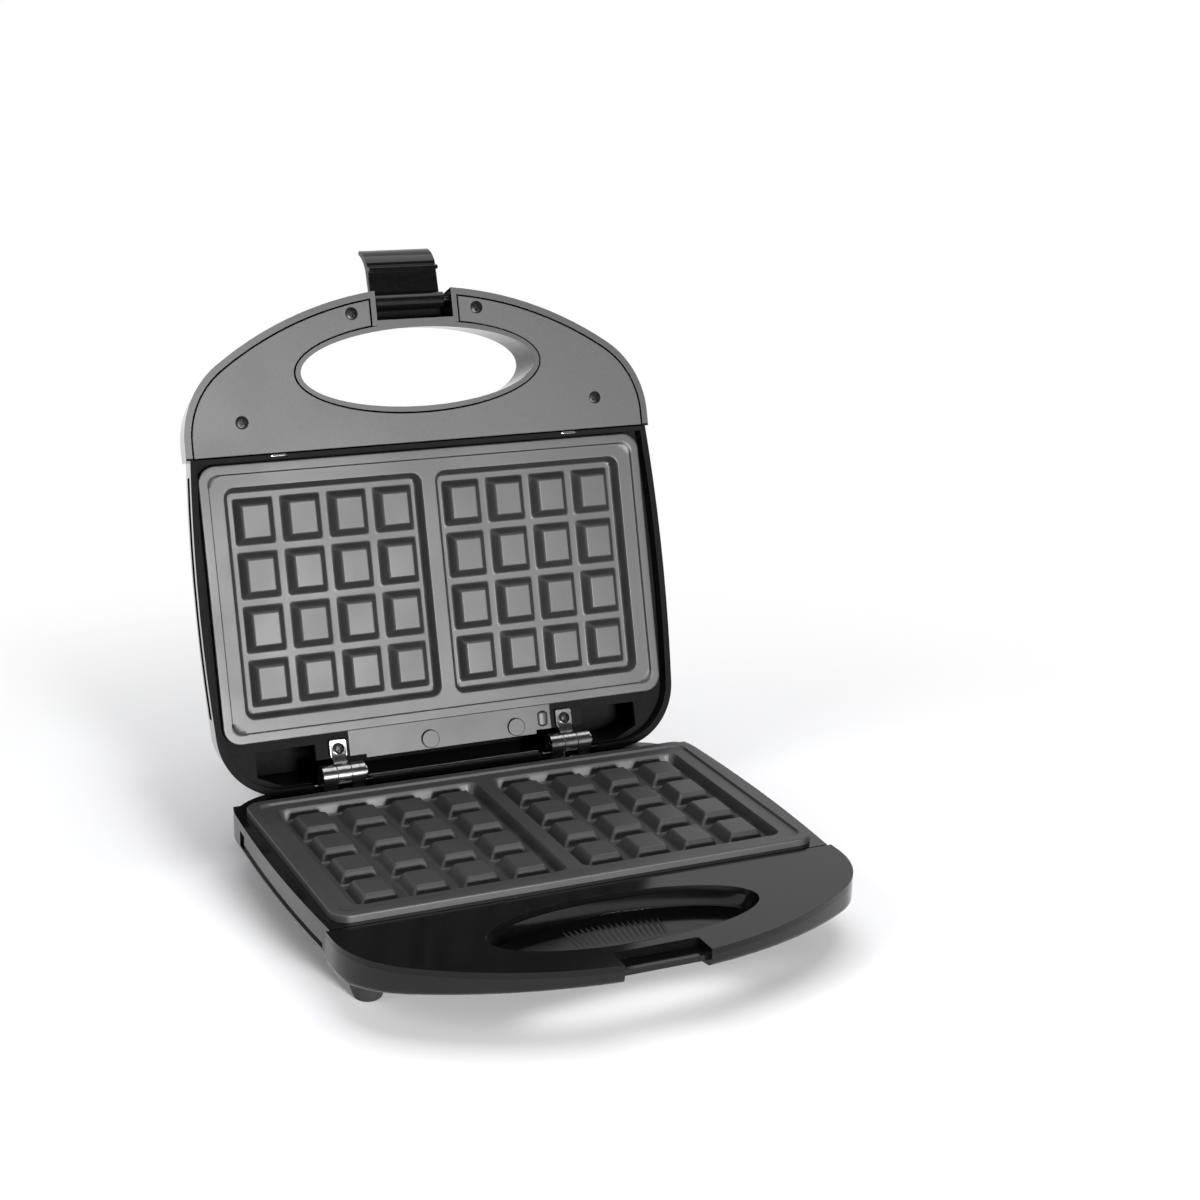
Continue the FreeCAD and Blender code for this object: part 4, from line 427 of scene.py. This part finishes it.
def even_shading(piece, angle=FORM_ANGLE):
    """Smooth faces with sharp edges past an angle, and normals led by the larger faces."""
    mesh = piece.data
    mesh.polygons.foreach_set("use_smooth", np.ones(len(mesh.polygons), bool))
    mesh.set_sharp_from_angle(angle=math.radians(angle))
    weighted = piece.modifiers.new("even_normals", "WEIGHTED_NORMAL")
    weighted.keep_sharp = True


def settle(piece, slot, body, *nodes, look=None):
    """Gives a piece its finish, rides it on a body and hides the nodes it replaces."""
    piece.data.materials.clear()
    piece.data.materials.append(finishes[look or slot])
    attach(piece, body)
    if nodes:
        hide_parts(*nodes)
    return piece


def settle_for(piece, node, look=None):
    """Settles a piece in the place of one node, with that node's slot and body."""
    return settle(piece, node_slots[node], node_bodies[node], node, look=look)


def skin(node, edge, look=None):
    """The node's own solid again: doubles merged, flats joined and sharp edges broken by a bevel."""
    work = bmesh.new()
    work.from_mesh(frame["nodes"][node].data)
    bmesh.ops.remove_doubles(work, verts=work.verts, dist=SOLID_MERGE)
    bmesh.ops.dissolve_limit(
        work, angle_limit=FLAT_ANGLE, verts=work.verts, edges=work.edges, use_dissolve_boundaries=False
    )
    mesh = bpy.data.meshes.new(node + "_skin")
    work.to_mesh(mesh)
    work.free()
    piece = bpy.data.objects.new(node + "_skin", mesh)
    bpy.context.scene.collection.objects.link(piece)
    if edge:
        bevel = piece.modifiers.new("broken_edges", "BEVEL")
        bevel.width = edge * MM
        bevel.segments = 2
        bevel.limit_method = "ANGLE"
        bevel.angle_limit = math.radians(EDGE_ANGLE)
    even_shading(piece, EDGE_ANGLE)
    return settle_for(piece, node, look)


finishes = make_finishes()
make_floor()
make_studio()


# Wire tie round the hank

WIRE_SIDES = 12
TIE_WIRE, TIE_HALF, TIE_SQUARE, TIE_STEP, TIE_TURNS, TIE_POINTS = 0.55, 7.4, 0.6, 2.6, 2, 161
TAIL_LONG, TAIL_TURNS, TAIL_APART, TAIL_POINTS, TAIL_AWAY = 15.0, 3.0, 0.65, 61, (0.45, -0.86, 0.22)


def wire(path, reference):
    """A round wire along a path; the reference direction never runs along it."""
    tangent = np.gradient(path, axis=0)
    across = np.cross(tangent, np.asarray(reference, float))
    across /= np.linalg.norm(across, axis=1, keepdims=True)
    upward = np.cross(across, tangent)
    upward /= np.linalg.norm(upward, axis=1, keepdims=True)
    turn = np.linspace(0, 2 * np.pi, WIRE_SIDES, endpoint=False)
    return tube(path, across, upward, np.stack([np.cos(turn), np.sin(turn)], axis=-1) * TIE_WIRE)


def squared(wave):
    """A sine or cosine raised to a power below one, its sign kept, which turns a circle towards a square."""
    return np.sign(wave) * np.abs(wave) ** TIE_SQUARE * TIE_HALF


def make_tie():
    """Turns of coated wire round the hank, on a square with round corners, and two ends twisted together."""
    low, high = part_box("cord_tie")
    middle = np.array((low + high) / 2) / MM
    turn = np.pi / 2 + np.linspace(0, 2 * np.pi * TIE_TURNS, TIE_POINTS)
    along = TIE_STEP * np.linspace(-0.5, 0.5, len(turn))
    loops = middle + np.stack([along, squared(np.cos(turn)), squared(np.sin(turn))], axis=-1)
    share = np.linspace(0, 1, TAIL_POINTS)
    away = np.array(TAIL_AWAY) / np.linalg.norm(TAIL_AWAY)
    side = np.cross(away, (0, 0, 1.0))
    side /= np.linalg.norm(side)
    over = np.cross(side, away)
    start = middle + (0, 0, TIE_HALF + TIE_WIRE)
    parts = [wire(loops, (1, 0, 0))]
    for phase in (0, np.pi):
        spin = (2 * np.pi * TAIL_TURNS * share + phase)[:, None]
        twist = TAIL_APART * (np.cos(spin) * side + np.sin(spin) * over)
        parts.append(wire(start + share[:, None] * away * TAIL_LONG + twist, away))
    points, faces = joined(parts)
    piece = mesh_piece("wire_tie", placed(points, Matrix()), faces)
    even_shading(piece)
    return settle_for(piece, "cord_tie")


# Mains lead: the free stretch, then one and a half turns of a tied hank

CORD_R = 3.25 * MM
LEAD_RUN, LEAD_FALL = 18.0 * MM, 28.0 * MM
HANK_BEND, HANK_FOLD, HANK_WAIST = 80.0 * MM, 22.0 * MM, 3.6 * MM
HANK_TAIL, HANK_LAYER, HANK_FLOOR = 16.0 * MM, 7.2 * MM, 1.1 * MM
HANK_STEP = math.radians(14)
HANK_REACH = math.sqrt((HANK_BEND + HANK_FOLD) ** 2 - (HANK_BEND + HANK_WAIST) ** 2)
HANK_LEAN = math.asin((HANK_BEND + HANK_WAIST) / (HANK_BEND + HANK_FOLD))


def arc_points(centre, radius, start, stop, low, high):
    """Points on an arc about a centre, from one angle to another, that climb from low to high."""
    count = max(2, math.ceil(abs(stop - start) / HANK_STEP))
    turn = np.linspace(start, stop, count, endpoint=False)
    climb = np.linspace(low, high, count, endpoint=False)
    return np.stack([centre[0] + radius * np.cos(turn), centre[1] + radius * np.sin(turn), climb], axis=-1)


def hank_points(middle, low):
    """The hank's line: round folds at both ends joined by runs that are drawn in to the waist."""
    lean, top = HANK_LEAN, low + HANK_LAYER
    left, right = (middle[0] - HANK_REACH, middle[1]), (middle[0] + HANK_REACH, middle[1])
    above = (middle[0], middle[1] + HANK_BEND + HANK_WAIST)
    below = (middle[0], middle[1] - HANK_BEND - HANK_WAIST)
    line = []
    for start, level in ((math.pi, low), (math.pi * 2 - lean, top)):
        line.append(arc_points(left, HANK_FOLD, start, lean, level, level))
        line.append(arc_points(above, HANK_BEND, lean - math.pi, -lean, level, level))
        if level == low:
            line.append(arc_points(right, HANK_FOLD, math.pi - lean, lean - math.pi, low, low))
            line.append(arc_points(below, HANK_BEND, lean, math.pi - lean, low, top))
    line.append(arc_points(right, HANK_FOLD, math.pi - lean, math.pi / 2, top, top))
    end = [[right[0] + HANK_TAIL * share, right[1] + HANK_FOLD, top] for share in (0, 1)]
    return np.concatenate(line + [np.array(end)])


def make_lead():
    """The lead as one open curve from the gland to the floor and round the hank, with its plug and tie."""
    low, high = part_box("cord_gland")
    exit_at = Vector(((low.x + high.x) / 2, high.y, (low.z + high.z) / 2))
    floor = HANK_FLOOR + CORD_R
    stretch = [
        exit_at, exit_at + Vector((0, LEAD_RUN, 0)),
        Vector((exit_at.x, exit_at.y + LEAD_RUN + LEAD_FALL, floor)),
        Vector((exit_at.x, exit_at.y + LEAD_RUN * 2 + LEAD_FALL, floor)),
    ]
    middle = (stretch[-1].x + HANK_REACH + HANK_FOLD, stretch[-1].y + CORD_R * 2)
    points = np.concatenate([np.array([list(p) for p in stretch]), hank_points(middle, floor)])
    curve = bpy.data.curves.new("mains_lead", "CURVE")
    curve.dimensions = "3D"
    spline = curve.splines.new("NURBS")
    spline.points.add(len(points) - 1)
    spline.points.foreach_set("co", np.column_stack([points, np.ones(len(points))]).ravel())
    spline.order_u = 3
    spline.use_endpoint_u = True
    spline.resolution_u = 6
    curve.bevel_depth = CORD_R
    curve.bevel_resolution = 5
    curve.use_fill_caps = True
    lead = bpy.data.objects.new("mains_lead", curve)
    bpy.context.scene.collection.objects.link(lead)
    curve.materials.append(finishes["cord"])
    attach(lead, "base")
    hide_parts("power_cord", "cord_hank")
    pieces = [skin("plug_body", 0.3), skin("plug_pins", 0.0), make_tie()]


make_lead()


# Soft blends of two heights

def soft_max(a, b, reach):
    """The larger of two heights, with the crease between them rounded over a reach."""
    share = np.clip(0.5 + 0.5 * (a - b) / reach, 0, 1)
    return b + (a - b) * share + reach * share * (1 - share)


def soft_min(a, b, reach):
    """The smaller of two heights, rounded in the same way."""
    return -soft_max(-a, -b, reach)


def ramp(value, low, high):
    """A smooth rise from 0 to 1 between two values."""
    share = np.clip((value - low) / (high - low), 0, 1)
    return share * share * (3 - 2 * share)


def inside_round(x, y, half_x, half_y, corner):
    """How far a point lies inside a rectangle with round corners; negative outside."""
    qx, qy = np.abs(x) - (half_x - corner), np.abs(y) - (half_y - corner)
    return corner - np.hypot(np.maximum(qx, 0), np.maximum(qy, 0)) - np.minimum(np.maximum(qx, qy), 0)


# Waffle plates

PLATE_W, PLATE_D, PLATE_CORNER = 216.0, 124.4, 8.0
FLANGE, FLANGE_ROUND, RIM_STEP_W, RIM_STEP = 3.0, 0.6, 4.5, 1.0
TRAY_X, TRAY_Y, TRAY_DEPTH, TRAY_CORNER, TRAY_DRAFT = 97.0, 52.0, 6.0, 5.0, math.tan(math.radians(20))
DIVIDER, PLATE_WALL, CLOSING_GAP = 6.4, 3.0, 0.4
CELL_W, CELL_D, CELL_RISE, CELL_DRAFT = 17.9, 20.2, 5.0, math.tan(math.radians(28))
CELL_PITCH_X, CELL_PITCH_Y, CELL_FIRST_X, CELLS = 22.03, 24.15, 16.9, 4
STEP_SOFT, LIP_SOFT, TRAY_SOFT, BACK_SOFT = 0.35, 0.8, 1.4, 0.4
CELL_SIDE_SOFT, CELL_TOP_SOFT, CELL_FOOT_SOFT = 0.9, 1.0, 0.9
NEAR_EDGE, NEAR_RIM = np.array([-0.8, -0.3, 0.3, 0.8]), np.array([0, 0.08, 0.3, 0.6, 1.0])
CORNER_LINES, LEAST_LINE = 6, 0.2


def cell_offset(along, pitch):
    """How far a point lies from the middle of the nearest cell in a row that starts at 0."""
    return along - pitch * np.clip(np.round(along / pitch), 0, CELLS - 1)


def plate_height(x, y):
    """The working face: a flat flange, a small step, two drafted trays and rows of rounded blunt pyramids."""
    half_x, half_y = PLATE_W / 2, PLATE_D / 2
    edge = inside_round(x, y, half_x, half_y, PLATE_CORNER)
    turn = np.clip(FLANGE_ROUND - edge, 0, FLANGE_ROUND)
    rim = np.sqrt(FLANGE_ROUND ** 2 - turn ** 2) - FLANGE_ROUND
    step = inside_round(x, y, half_x - RIM_STEP_W, half_y - RIM_STEP_W, PLATE_CORNER - RIM_STEP_W / 2)
    level = rim - RIM_STEP * ramp(step, -STEP_SOFT, STEP_SOFT)
    tray_mid, tray_half = (TRAY_X + DIVIDER / 2) / 2, (TRAY_X - DIVIDER / 2) / 2
    wall = -inside_round(np.abs(x) - tray_mid, y, tray_half, TRAY_Y, TRAY_CORNER) / TRAY_DRAFT
    level = soft_min(level, soft_max(wall, -TRAY_DEPTH, TRAY_SOFT), LIP_SOFT)
    off_x = cell_offset(np.abs(x) - CELL_FIRST_X, CELL_PITCH_X)
    off_y = cell_offset(y + CELL_PITCH_Y * (CELLS - 1) / 2, CELL_PITCH_Y)
    side = soft_min(CELL_W / 2 - np.abs(off_x), CELL_D / 2 - np.abs(off_y), CELL_SIDE_SOFT) / CELL_DRAFT
    return soft_max(level, soft_min(side, CELL_RISE, CELL_TOP_SOFT) - TRAY_DEPTH, CELL_FOOT_SOFT)


def cell_edges(middles, width):
    """Where the feet and the tops of a row of cells begin and end."""
    slope = CELL_RISE * CELL_DRAFT
    ends = np.array([-width / 2, -width / 2 + slope, width / 2 - slope, width / 2])
    return (middles[:, None] + ends).ravel()


def plate_lines(half, edges, corners):
    """Grid lines for one half of a plate, drawn close together at its edges and round corners."""
    lines = [(edges[:, None] + NEAR_EDGE).ravel()]
    lines += [np.linspace(start, stop, CORNER_LINES) for start, stop in corners]
    lines.append(half - FLANGE_ROUND * NEAR_RIM)
    lines = np.unique(np.round(np.concatenate(lines), 2))
    lines = lines[(lines > LEAST_LINE) & (lines <= half)]
    return np.concatenate([-lines[::-1], [0], lines])


def make_plate(node, place):
    """A plate as a closed slab: the working face on a grid, its round corners bent in, over a flat back.

    In a corner a and b are a point's shares of the corner's radius. They become a times the root of
    1 - b * b / 2 and b times the root of 1 - a * a / 2, which bends the square corner round.
    """
    half_x, half_y, slope = PLATE_W / 2, PLATE_D / 2, TRAY_DEPTH * TRAY_DRAFT
    columns = cell_edges(CELL_FIRST_X + CELL_PITCH_X * np.arange(CELLS), CELL_W)
    rows = cell_edges(CELL_PITCH_Y * (np.arange(CELLS // 2) + 0.5), CELL_D)
    tray_x = [DIVIDER / 2, DIVIDER / 2 + slope, TRAY_X - slope, TRAY_X, half_x - RIM_STEP_W]
    tray_y = [TRAY_Y - slope, TRAY_Y, half_y - RIM_STEP_W]
    x_lines = plate_lines(half_x, np.concatenate([columns, tray_x]), [
        (DIVIDER / 2, DIVIDER / 2 + TRAY_CORNER), (TRAY_X - TRAY_CORNER, TRAY_X),
        (half_x - PLATE_CORNER, half_x),
    ])
    y_lines = plate_lines(half_y, np.concatenate([rows, tray_y]), [
        (TRAY_Y - TRAY_CORNER, TRAY_Y), (half_y - PLATE_CORNER, half_y),
    ])
    x, y = np.meshgrid(x_lines, y_lines)
    a = np.clip((np.abs(x) - half_x + PLATE_CORNER) / PLATE_CORNER, 0, 1)
    b = np.clip((np.abs(y) - half_y + PLATE_CORNER) / PLATE_CORNER, 0, 1)
    x = x - np.sign(x) * PLATE_CORNER * a * (1 - np.sqrt(1 - b * b / 2))
    y = y - np.sign(y) * PLATE_CORNER * b * (1 - np.sqrt(1 - a * a / 2))
    block = inside_round(x, y, TRAY_X + PLATE_WALL, TRAY_Y + PLATE_WALL, TRAY_CORNER)
    back = -FLANGE - (TRAY_DEPTH + PLATE_WALL - FLANGE) * ramp(block, -BACK_SOFT, BACK_SOFT)
    points, faces = slab(np.stack([x, y, plate_height(x, y)], axis=-1), np.stack([x, y, back], axis=-1))
    piece = mesh_piece(node + "_cast", placed(points, place), faces)
    even_shading(piece, PLATE_ANGLE)
    settle_for(piece, node)


facing_down = Matrix.Translation((0, 0, CLOSING_GAP * MM)) @ Matrix.Rotation(math.pi, 4, "Y")
make_plate("lower_plate", base_at)
make_plate("upper_plate", lid_at @ facing_down)


# Screw heads with a cross recess: its widths are shares of the head's radius, depths are shares of its height

RECESS_HALF, RECESS_END, RECESS_SOFT, RECESS_DEPTH, CROWN = 0.17, 0.66, 0.035, 0.6, 0.3
FIRST_TURN, NEXT_TURN = 0.6, 1.9


def within(value, limit):
    """1 inside a limit to both sides of 0, and 0 outside, with a soft edge."""
    return ramp(-np.abs(value), -limit - RECESS_SOFT, -limit + RECESS_SOFT)


def cross_head(radius, height):
    """A round head: a low crown on a disc, less a cross of two slots with soft edges, over a straight side.

    The square grid of u and v goes to the disc as u times the root of 1 - v * v / 2 and v times the root of
    1 - u * u / 2.
    """
    soft = RECESS_SOFT * np.array([-1, 0, 1])
    step = np.concatenate([
        [0, 0.07], RECESS_HALF + soft, [0.28, 0.4, 0.52], RECESS_END + soft, [0.8, 0.9, 0.96, 1.0],
    ])
    line = np.concatenate([-step[:0:-1], step])
    u, v = np.meshgrid(line, line)
    x, y = radius * u * np.sqrt(1 - v * v / 2), radius * v * np.sqrt(1 - u * u / 2)
    across_u, across_v = within(u, RECESS_HALF), within(v, RECESS_HALF)
    cross = np.maximum(across_u * within(v, RECESS_END), across_v * within(u, RECESS_END))
    share = np.clip(np.hypot(x, y) / radius, 0, 1)
    top = height - height * CROWN * share ** 4 - height * RECESS_DEPTH * cross
    return slab(np.stack([x, y, top], axis=-1), np.stack([x, y, np.zeros_like(x)], axis=-1))


def make_screws(node, spots, seat, place, facing, radius, height):
    """Screw heads at spots of a flat seat; facing is 1 for up and -1 for down."""
    flip = Matrix.Rotation(math.pi if facing < 0 else 0, 4, "X")
    parts = []
    for i, (x, y) in enumerate(spots):
        turn = Matrix.Rotation(FIRST_TURN + NEXT_TURN * i, 4, "Z")
        spot = Matrix.Translation(Vector((x, y, seat)) * MM)
        points, faces = cross_head(radius, height)
        parts.append((placed(points, place @ spot @ flip @ turn), faces))
    piece = mesh_piece(node + "_heads", *joined(parts))
    even_shading(piece)
    settle_for(piece, node)


COVER_HEAD_R, COVER_HEAD_T, HEAD_SINK, SCREW_HEAD_R, SCREW_HEAD_T = 2.8, 1.6, 0.3, 2.5, 2.0
SIDE_SCREW, FRONT_SCREW = (86.3, -80.1), (30.5, -125.7)
HINGE_X, LID_SCREW_Y, BASE_SCREW_Y = 56.0, 69.5, 72.5
RIM_Z, BASE_SEAT_Z, LID_PAD_Z, BASE_PAD_Z = -2.6, -8.5, 1.4, -6.4
SUNK_HEAD_T = COVER_HEAD_T - HEAD_SINK
cover_spots = [(x * k, y) for x, y in (SIDE_SCREW, FRONT_SCREW) for k in (1, -1)]
lid_spots, base_spots = ([(x, y) for x in (-HINGE_X, HINGE_X)] for y in (LID_SCREW_Y, BASE_SCREW_Y))
make_screws("lid_cover_screws", cover_spots, RIM_Z + COVER_HEAD_T, lid_at, -1, COVER_HEAD_R, SUNK_HEAD_T)
make_screws("base_cover_screws", cover_spots, BASE_SEAT_Z, base_at, -1, COVER_HEAD_R, COVER_HEAD_T)
make_screws("lid_hinge_screws", lid_spots, LID_PAD_Z, lid_at, -1, SCREW_HEAD_R, SCREW_HEAD_T)
make_screws("base_hinge_screws", base_spots, BASE_PAD_Z, base_at, 1, SCREW_HEAD_R, SCREW_HEAD_T)


# Feet

FOOT_TOP_R, FOOT_LOW_R, FOOT_ROUND, FOOT_BREAK = 9.0, 6.0, 2.0, 0.5
PEG_R, PEG_LONG = 3.0, 4.0
TREAD_R, TREAD_SINK, TREAD_EDGE, TREAD_LIP = 3.4, 0.8, 0.4, 0.2


def make_foot(node):
    """A rubber foot turned from a profile: a peg, a coned side, a round edge and a sunk tread."""
    low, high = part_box(node)
    height = (high.z - low.z) / MM
    seat = height - PEG_LONG
    bend = np.linspace(0, np.pi / 2, 7)
    peg = np.array([[0.0, height], [PEG_R, height], [PEG_R, seat]])
    side = np.array([[FOOT_TOP_R - FOOT_BREAK, seat], [FOOT_TOP_R, seat - FOOT_BREAK]])
    edge = np.stack([FOOT_LOW_R - FOOT_ROUND * (1 - np.cos(bend)), FOOT_ROUND * (1 - np.sin(bend))], axis=-1)
    lip = np.array([[TREAD_R + TREAD_EDGE, 0.0], [TREAD_R, TREAD_LIP]])
    sunk = np.array([[TREAD_R - TREAD_EDGE, TREAD_SINK], [0.0, TREAD_SINK]])
    points, faces = lathe(np.concatenate([peg, side, edge, lip, sunk]))
    spot = Vector(((low.x + high.x) / 2, (low.y + high.y) / 2, low.z))
    piece = mesh_piece(node + "_turned", placed(points, Matrix.Translation(spot)), faces)
    even_shading(piece)
    settle_for(piece, node)


for corner in ("front_left", "front_right", "rear_left", "rear_right"):
    make_foot("foot_" + corner)


# Casing and small hardware with broken edges

BROKEN_EDGES = {
    "base_shell": 0.35, "lid_shell": 0.35, "lid_handle_cover": 0.5, "latch_clip": 0.4, "lens_bezel": 0.3,
    "red_lens": 0.2, "green_lens": 0.2, "base_hinge_brackets": 0.25, "lid_hinge_brackets": 0.25,
    "hinge_pins": 0.3, "latch_pin": 0.2, "cord_gland": 0.3,
}
for node, edge in BROKEN_EDGES.items():
    skin(node, edge)
skin("base_handle_cover", 0.3, "gloss_cover")
# The rear pads take the satin copy of the casing, whose raised specular level paints sheen
skin("rear_pads", 0.0, "satin_painted_sheen_casing")


# The latch as wide as its notch leaves room for

LATCH_W = 33.6


def widen(piece, width):
    """Spreads a piece evenly to both sides of the middle until it is as wide as asked."""
    mesh = piece.data
    points = vectors(mesh.vertices, "co")
    points[:, 0] *= width * MM / np.ptp(points[:, 0])
    mesh.vertices.foreach_set("co", points.ravel())
    mesh.update()


widen(bpy.data.objects["latch_clip_skin"], LATCH_W)


# Painted shade and sheen inside the lid: the matt copy of the casing paints shade in its hollow and lip, the satin
# copy paints sheen on its handle's rims and by its hinges

LID_DECK_Z, PANEL_X, PANEL_Y, HANDLE_Y = 3.4, 50.0, 62.0, -66.0
FACES_DOWN, DECK_NEAR, RIM_NEAR, CUT_NEAR = -0.6, 0.3, 0.05, 1e-7
CUTS = (((-PANEL_X, 0, 0), (1, 0, 0)), ((PANEL_X, 0, 0), (1, 0, 0)), ((0, HANDLE_Y, 0), (0, 1, 0)))


def paint_lid_shade_and_sheen(piece, place):
    """Cuts the faces at the panel's ends and the handle's root, then marks each by its place in the lid: painted
    sheen on the panel and the rims, painted shade in the rest of the hollow and the lip.
    """
    mesh = piece.data
    work = bmesh.new()
    work.from_mesh(mesh)
    turn = place.to_3x3()
    for spot, normal in CUTS:
        bmesh.ops.bisect_plane(
            work, geom=work.verts[:] + work.edges[:] + work.faces[:], dist=CUT_NEAR,
            plane_co=place @ (Vector(spot) * MM), plane_no=turn @ Vector(normal),
        )
    work.to_mesh(mesh)
    work.free()
    back = np.array(place.inverted())
    x, y, z = ((vectors(mesh.polygons, "center") @ back[:3, :3].T + back[:3, 3]) / MM).T
    down = (vectors(mesh.polygons, "normal") @ back[:3, :3].T)[:, 2] < FACES_DOWN
    inside = down & (z > RIM_Z - RIM_NEAR)
    panel = down & (np.abs(z - LID_DECK_Z) < DECK_NEAR) & (y > PANEL_Y) & (np.abs(x) < PANEL_X)
    rims = down & (np.abs(z - RIM_Z) < RIM_NEAR) & (y < HANDLE_Y)
    # Index 1 is the satin copy with painted sheen, index 2 the matt copy with painted shade
    mesh.materials.append(finishes["satin_painted_sheen_casing"])
    mesh.materials.append(finishes["matt_painted_shade_casing"])
    look = np.where(panel | rims, 1, np.where(inside, 2, 0))
    mesh.polygons.foreach_set("material_index", look.astype(np.int32))


paint_lid_shade_and_sheen(bpy.data.objects["lid_shell_skin"], lid_at)


# Raised lines and small trim

DOME_POINTS, RIDGE_END = 11, 0.25
UP, DOWN = (0, 0, 1), (0, 0, -1)


def dome(width, height, sunk):
    """A closed half-round profile with a foot sunk into its ground."""
    turn = np.linspace(0, np.pi, DOME_POINTS)
    top = np.stack([np.cos(turn) * width / 2, np.sin(turn) * height], axis=-1)
    return np.concatenate([top, [[-width / 2, -sunk], [width / 2, -sunk]]])


def ridge(path, upward, width, height, sunk, taper=0.12):
    """A half-round ridge along a path, drawn thin at both ends; upward points away from its ground."""
    path = np.asarray(path, float)
    upward = np.broadcast_to(np.asarray(upward, float), path.shape)
    across = np.cross(upward, np.gradient(path, axis=0))
    across /= np.linalg.norm(across, axis=1, keepdims=True)
    share = np.linspace(0, 1, len(path))
    swell = RIDGE_END + (1 - RIDGE_END) * ramp(np.minimum(share, 1 - share), 0, taper)
    return tube(path, across, upward, dome(width, height, sunk), swell)


def crosswise(middle, half, y, z, count):
    """Evenly spaced points on a straight line along X, to both sides of a middle."""
    return np.linspace((middle - half, y, z), (middle + half, y, z), count)


def make_trim(name, parts, place, slot, body, look=None):
    """Small raised forms joined to one piece that rides on a body."""
    points, faces = joined(parts)
    piece = mesh_piece(name, placed(points, place), faces)
    even_shading(piece)
    settle(piece, slot, body, look=look)


# Grip ribs on the sloping back of the base's finger scoop

RIBS, RIB_TURN, RIB_W, RIB_RISE, RIB_SUNK = 17, math.radians(2.7), 1.3, 0.3, 0.5
RIB_START, RIB_END, RIB_POINTS = 0.1, 0.94, 12
SCOOP_X, SCOOP_D, SCOOP_Y, SCOOP_Z = 57.5, 20.5, -97.4, -11.5
SLOT_X, SLOT_D, SLOT_Y, SLOT_Z = 50.0, 9.5, -108.5, -13.8


def grip_ribs():
    """Ribs laid from the scoop's back wall to its slot, side by side."""
    share = np.linspace(RIB_START, RIB_END, RIB_POINTS)[:, None]
    ribs = []
    for turn in math.pi / 2 + RIB_TURN * (np.arange(RIBS) - (RIBS - 1) / 2):
        back = np.array([SCOOP_X * math.cos(turn), SCOOP_Y + SCOOP_D * math.sin(turn), SCOOP_Z])
        front = np.array([SLOT_X * math.cos(turn), SLOT_Y + SLOT_D * math.sin(turn), SLOT_Z])
        ribs.append(ridge(back + (front - back) * share, UP, RIB_W, RIB_RISE, RIB_SUNK))
    return ribs


make_trim("grip_ribs", grip_ribs(), base_at, "casing", "base")


# Arched line over the lenses on the lid's top

BROW_HALF, BROW_Y, BROW_FALL, BROW_POINTS = 25.0, -17.5, 7.5, 41
BROW_W, BROW_RISE, BROW_SUNK, BROW_TAPER = 1.7, 0.6, 0.5, 0.3
ROOF_Z, ROOF_R, ROOF_MID_Y = 36.0, 900.0, 15.0


def roof_brow():
    """A raised line along a parabola on the roof's round, in the closed lid's frame."""
    x = np.linspace(-BROW_HALF, BROW_HALF, BROW_POINTS)
    y = BROW_Y - BROW_FALL * (x / BROW_HALF) ** 2
    z = ROOF_Z - ROOF_R + np.sqrt(ROOF_R ** 2 - (y - ROOF_MID_Y) ** 2)
    return ridge(np.stack([x, y, z], axis=-1), UP, BROW_W, BROW_RISE, BROW_SUNK, BROW_TAPER)


make_trim("roof_brow", [roof_brow()], lid_at, "casing", "lid")


# Short bright bar below the lenses

BAR_HALF, BAR_Y, BAR_Z, BAR_POINTS, BAR_UP = 7.0, -46.5, 33.86, 21, (0, -0.08, 0.997)
BAR_W, BAR_RISE, BAR_SUNK = 1.8, 0.3, 0.3
bar = ridge(crosswise(0, BAR_HALF, BAR_Y, BAR_Z, BAR_POINTS), BAR_UP, BAR_W, BAR_RISE, BAR_SUNK)
make_trim("lens_bar", [bar], lid_at, "steel", "lid")


# Small bright clips between the lid's cover and its plate

CLIP_X, CLIP_Y, CLIP_HALF, CLIP_POINTS = 71.0, -64.4, 4.0, 15
CLIP_W, CLIP_RISE, CLIP_SUNK = 1.1, 0.3, 0.4
clip_lines = [crosswise(x, CLIP_HALF, CLIP_Y, RIM_Z, CLIP_POINTS) for x in (-CLIP_X, CLIP_X)]
clips = [ridge(line, DOWN, CLIP_W, CLIP_RISE, CLIP_SUNK) for line in clip_lines]
make_trim("plate_clips", clips, lid_at, "steel", "lid")


# Rib beside the hinge

POST_X, POST_Y, POST_END, POST_POINTS = 46.0, 65.0, 72.5, 15
POST_W, POST_RISE, POST_SUNK = 5.0, 1.0, 0.5
post_line = np.linspace((POST_X, POST_Y, LID_DECK_Z), (POST_X, POST_END, LID_DECK_Z), POST_POINTS)
hinge_rib = ridge(post_line, DOWN, POST_W, POST_RISE, POST_SUNK)
# The rib takes the satin copy of the casing, whose raised specular level paints sheen
make_trim("hinge_rib", [hinge_rib], lid_at, "casing", "lid", "satin_painted_sheen_casing")


# Finishes on every node that keeps its own solid

for node, slot in node_slots.items():
    shown = frame["nodes"][node]
    shown.data.materials.clear()
    shown.data.materials.append(finishes[slot])
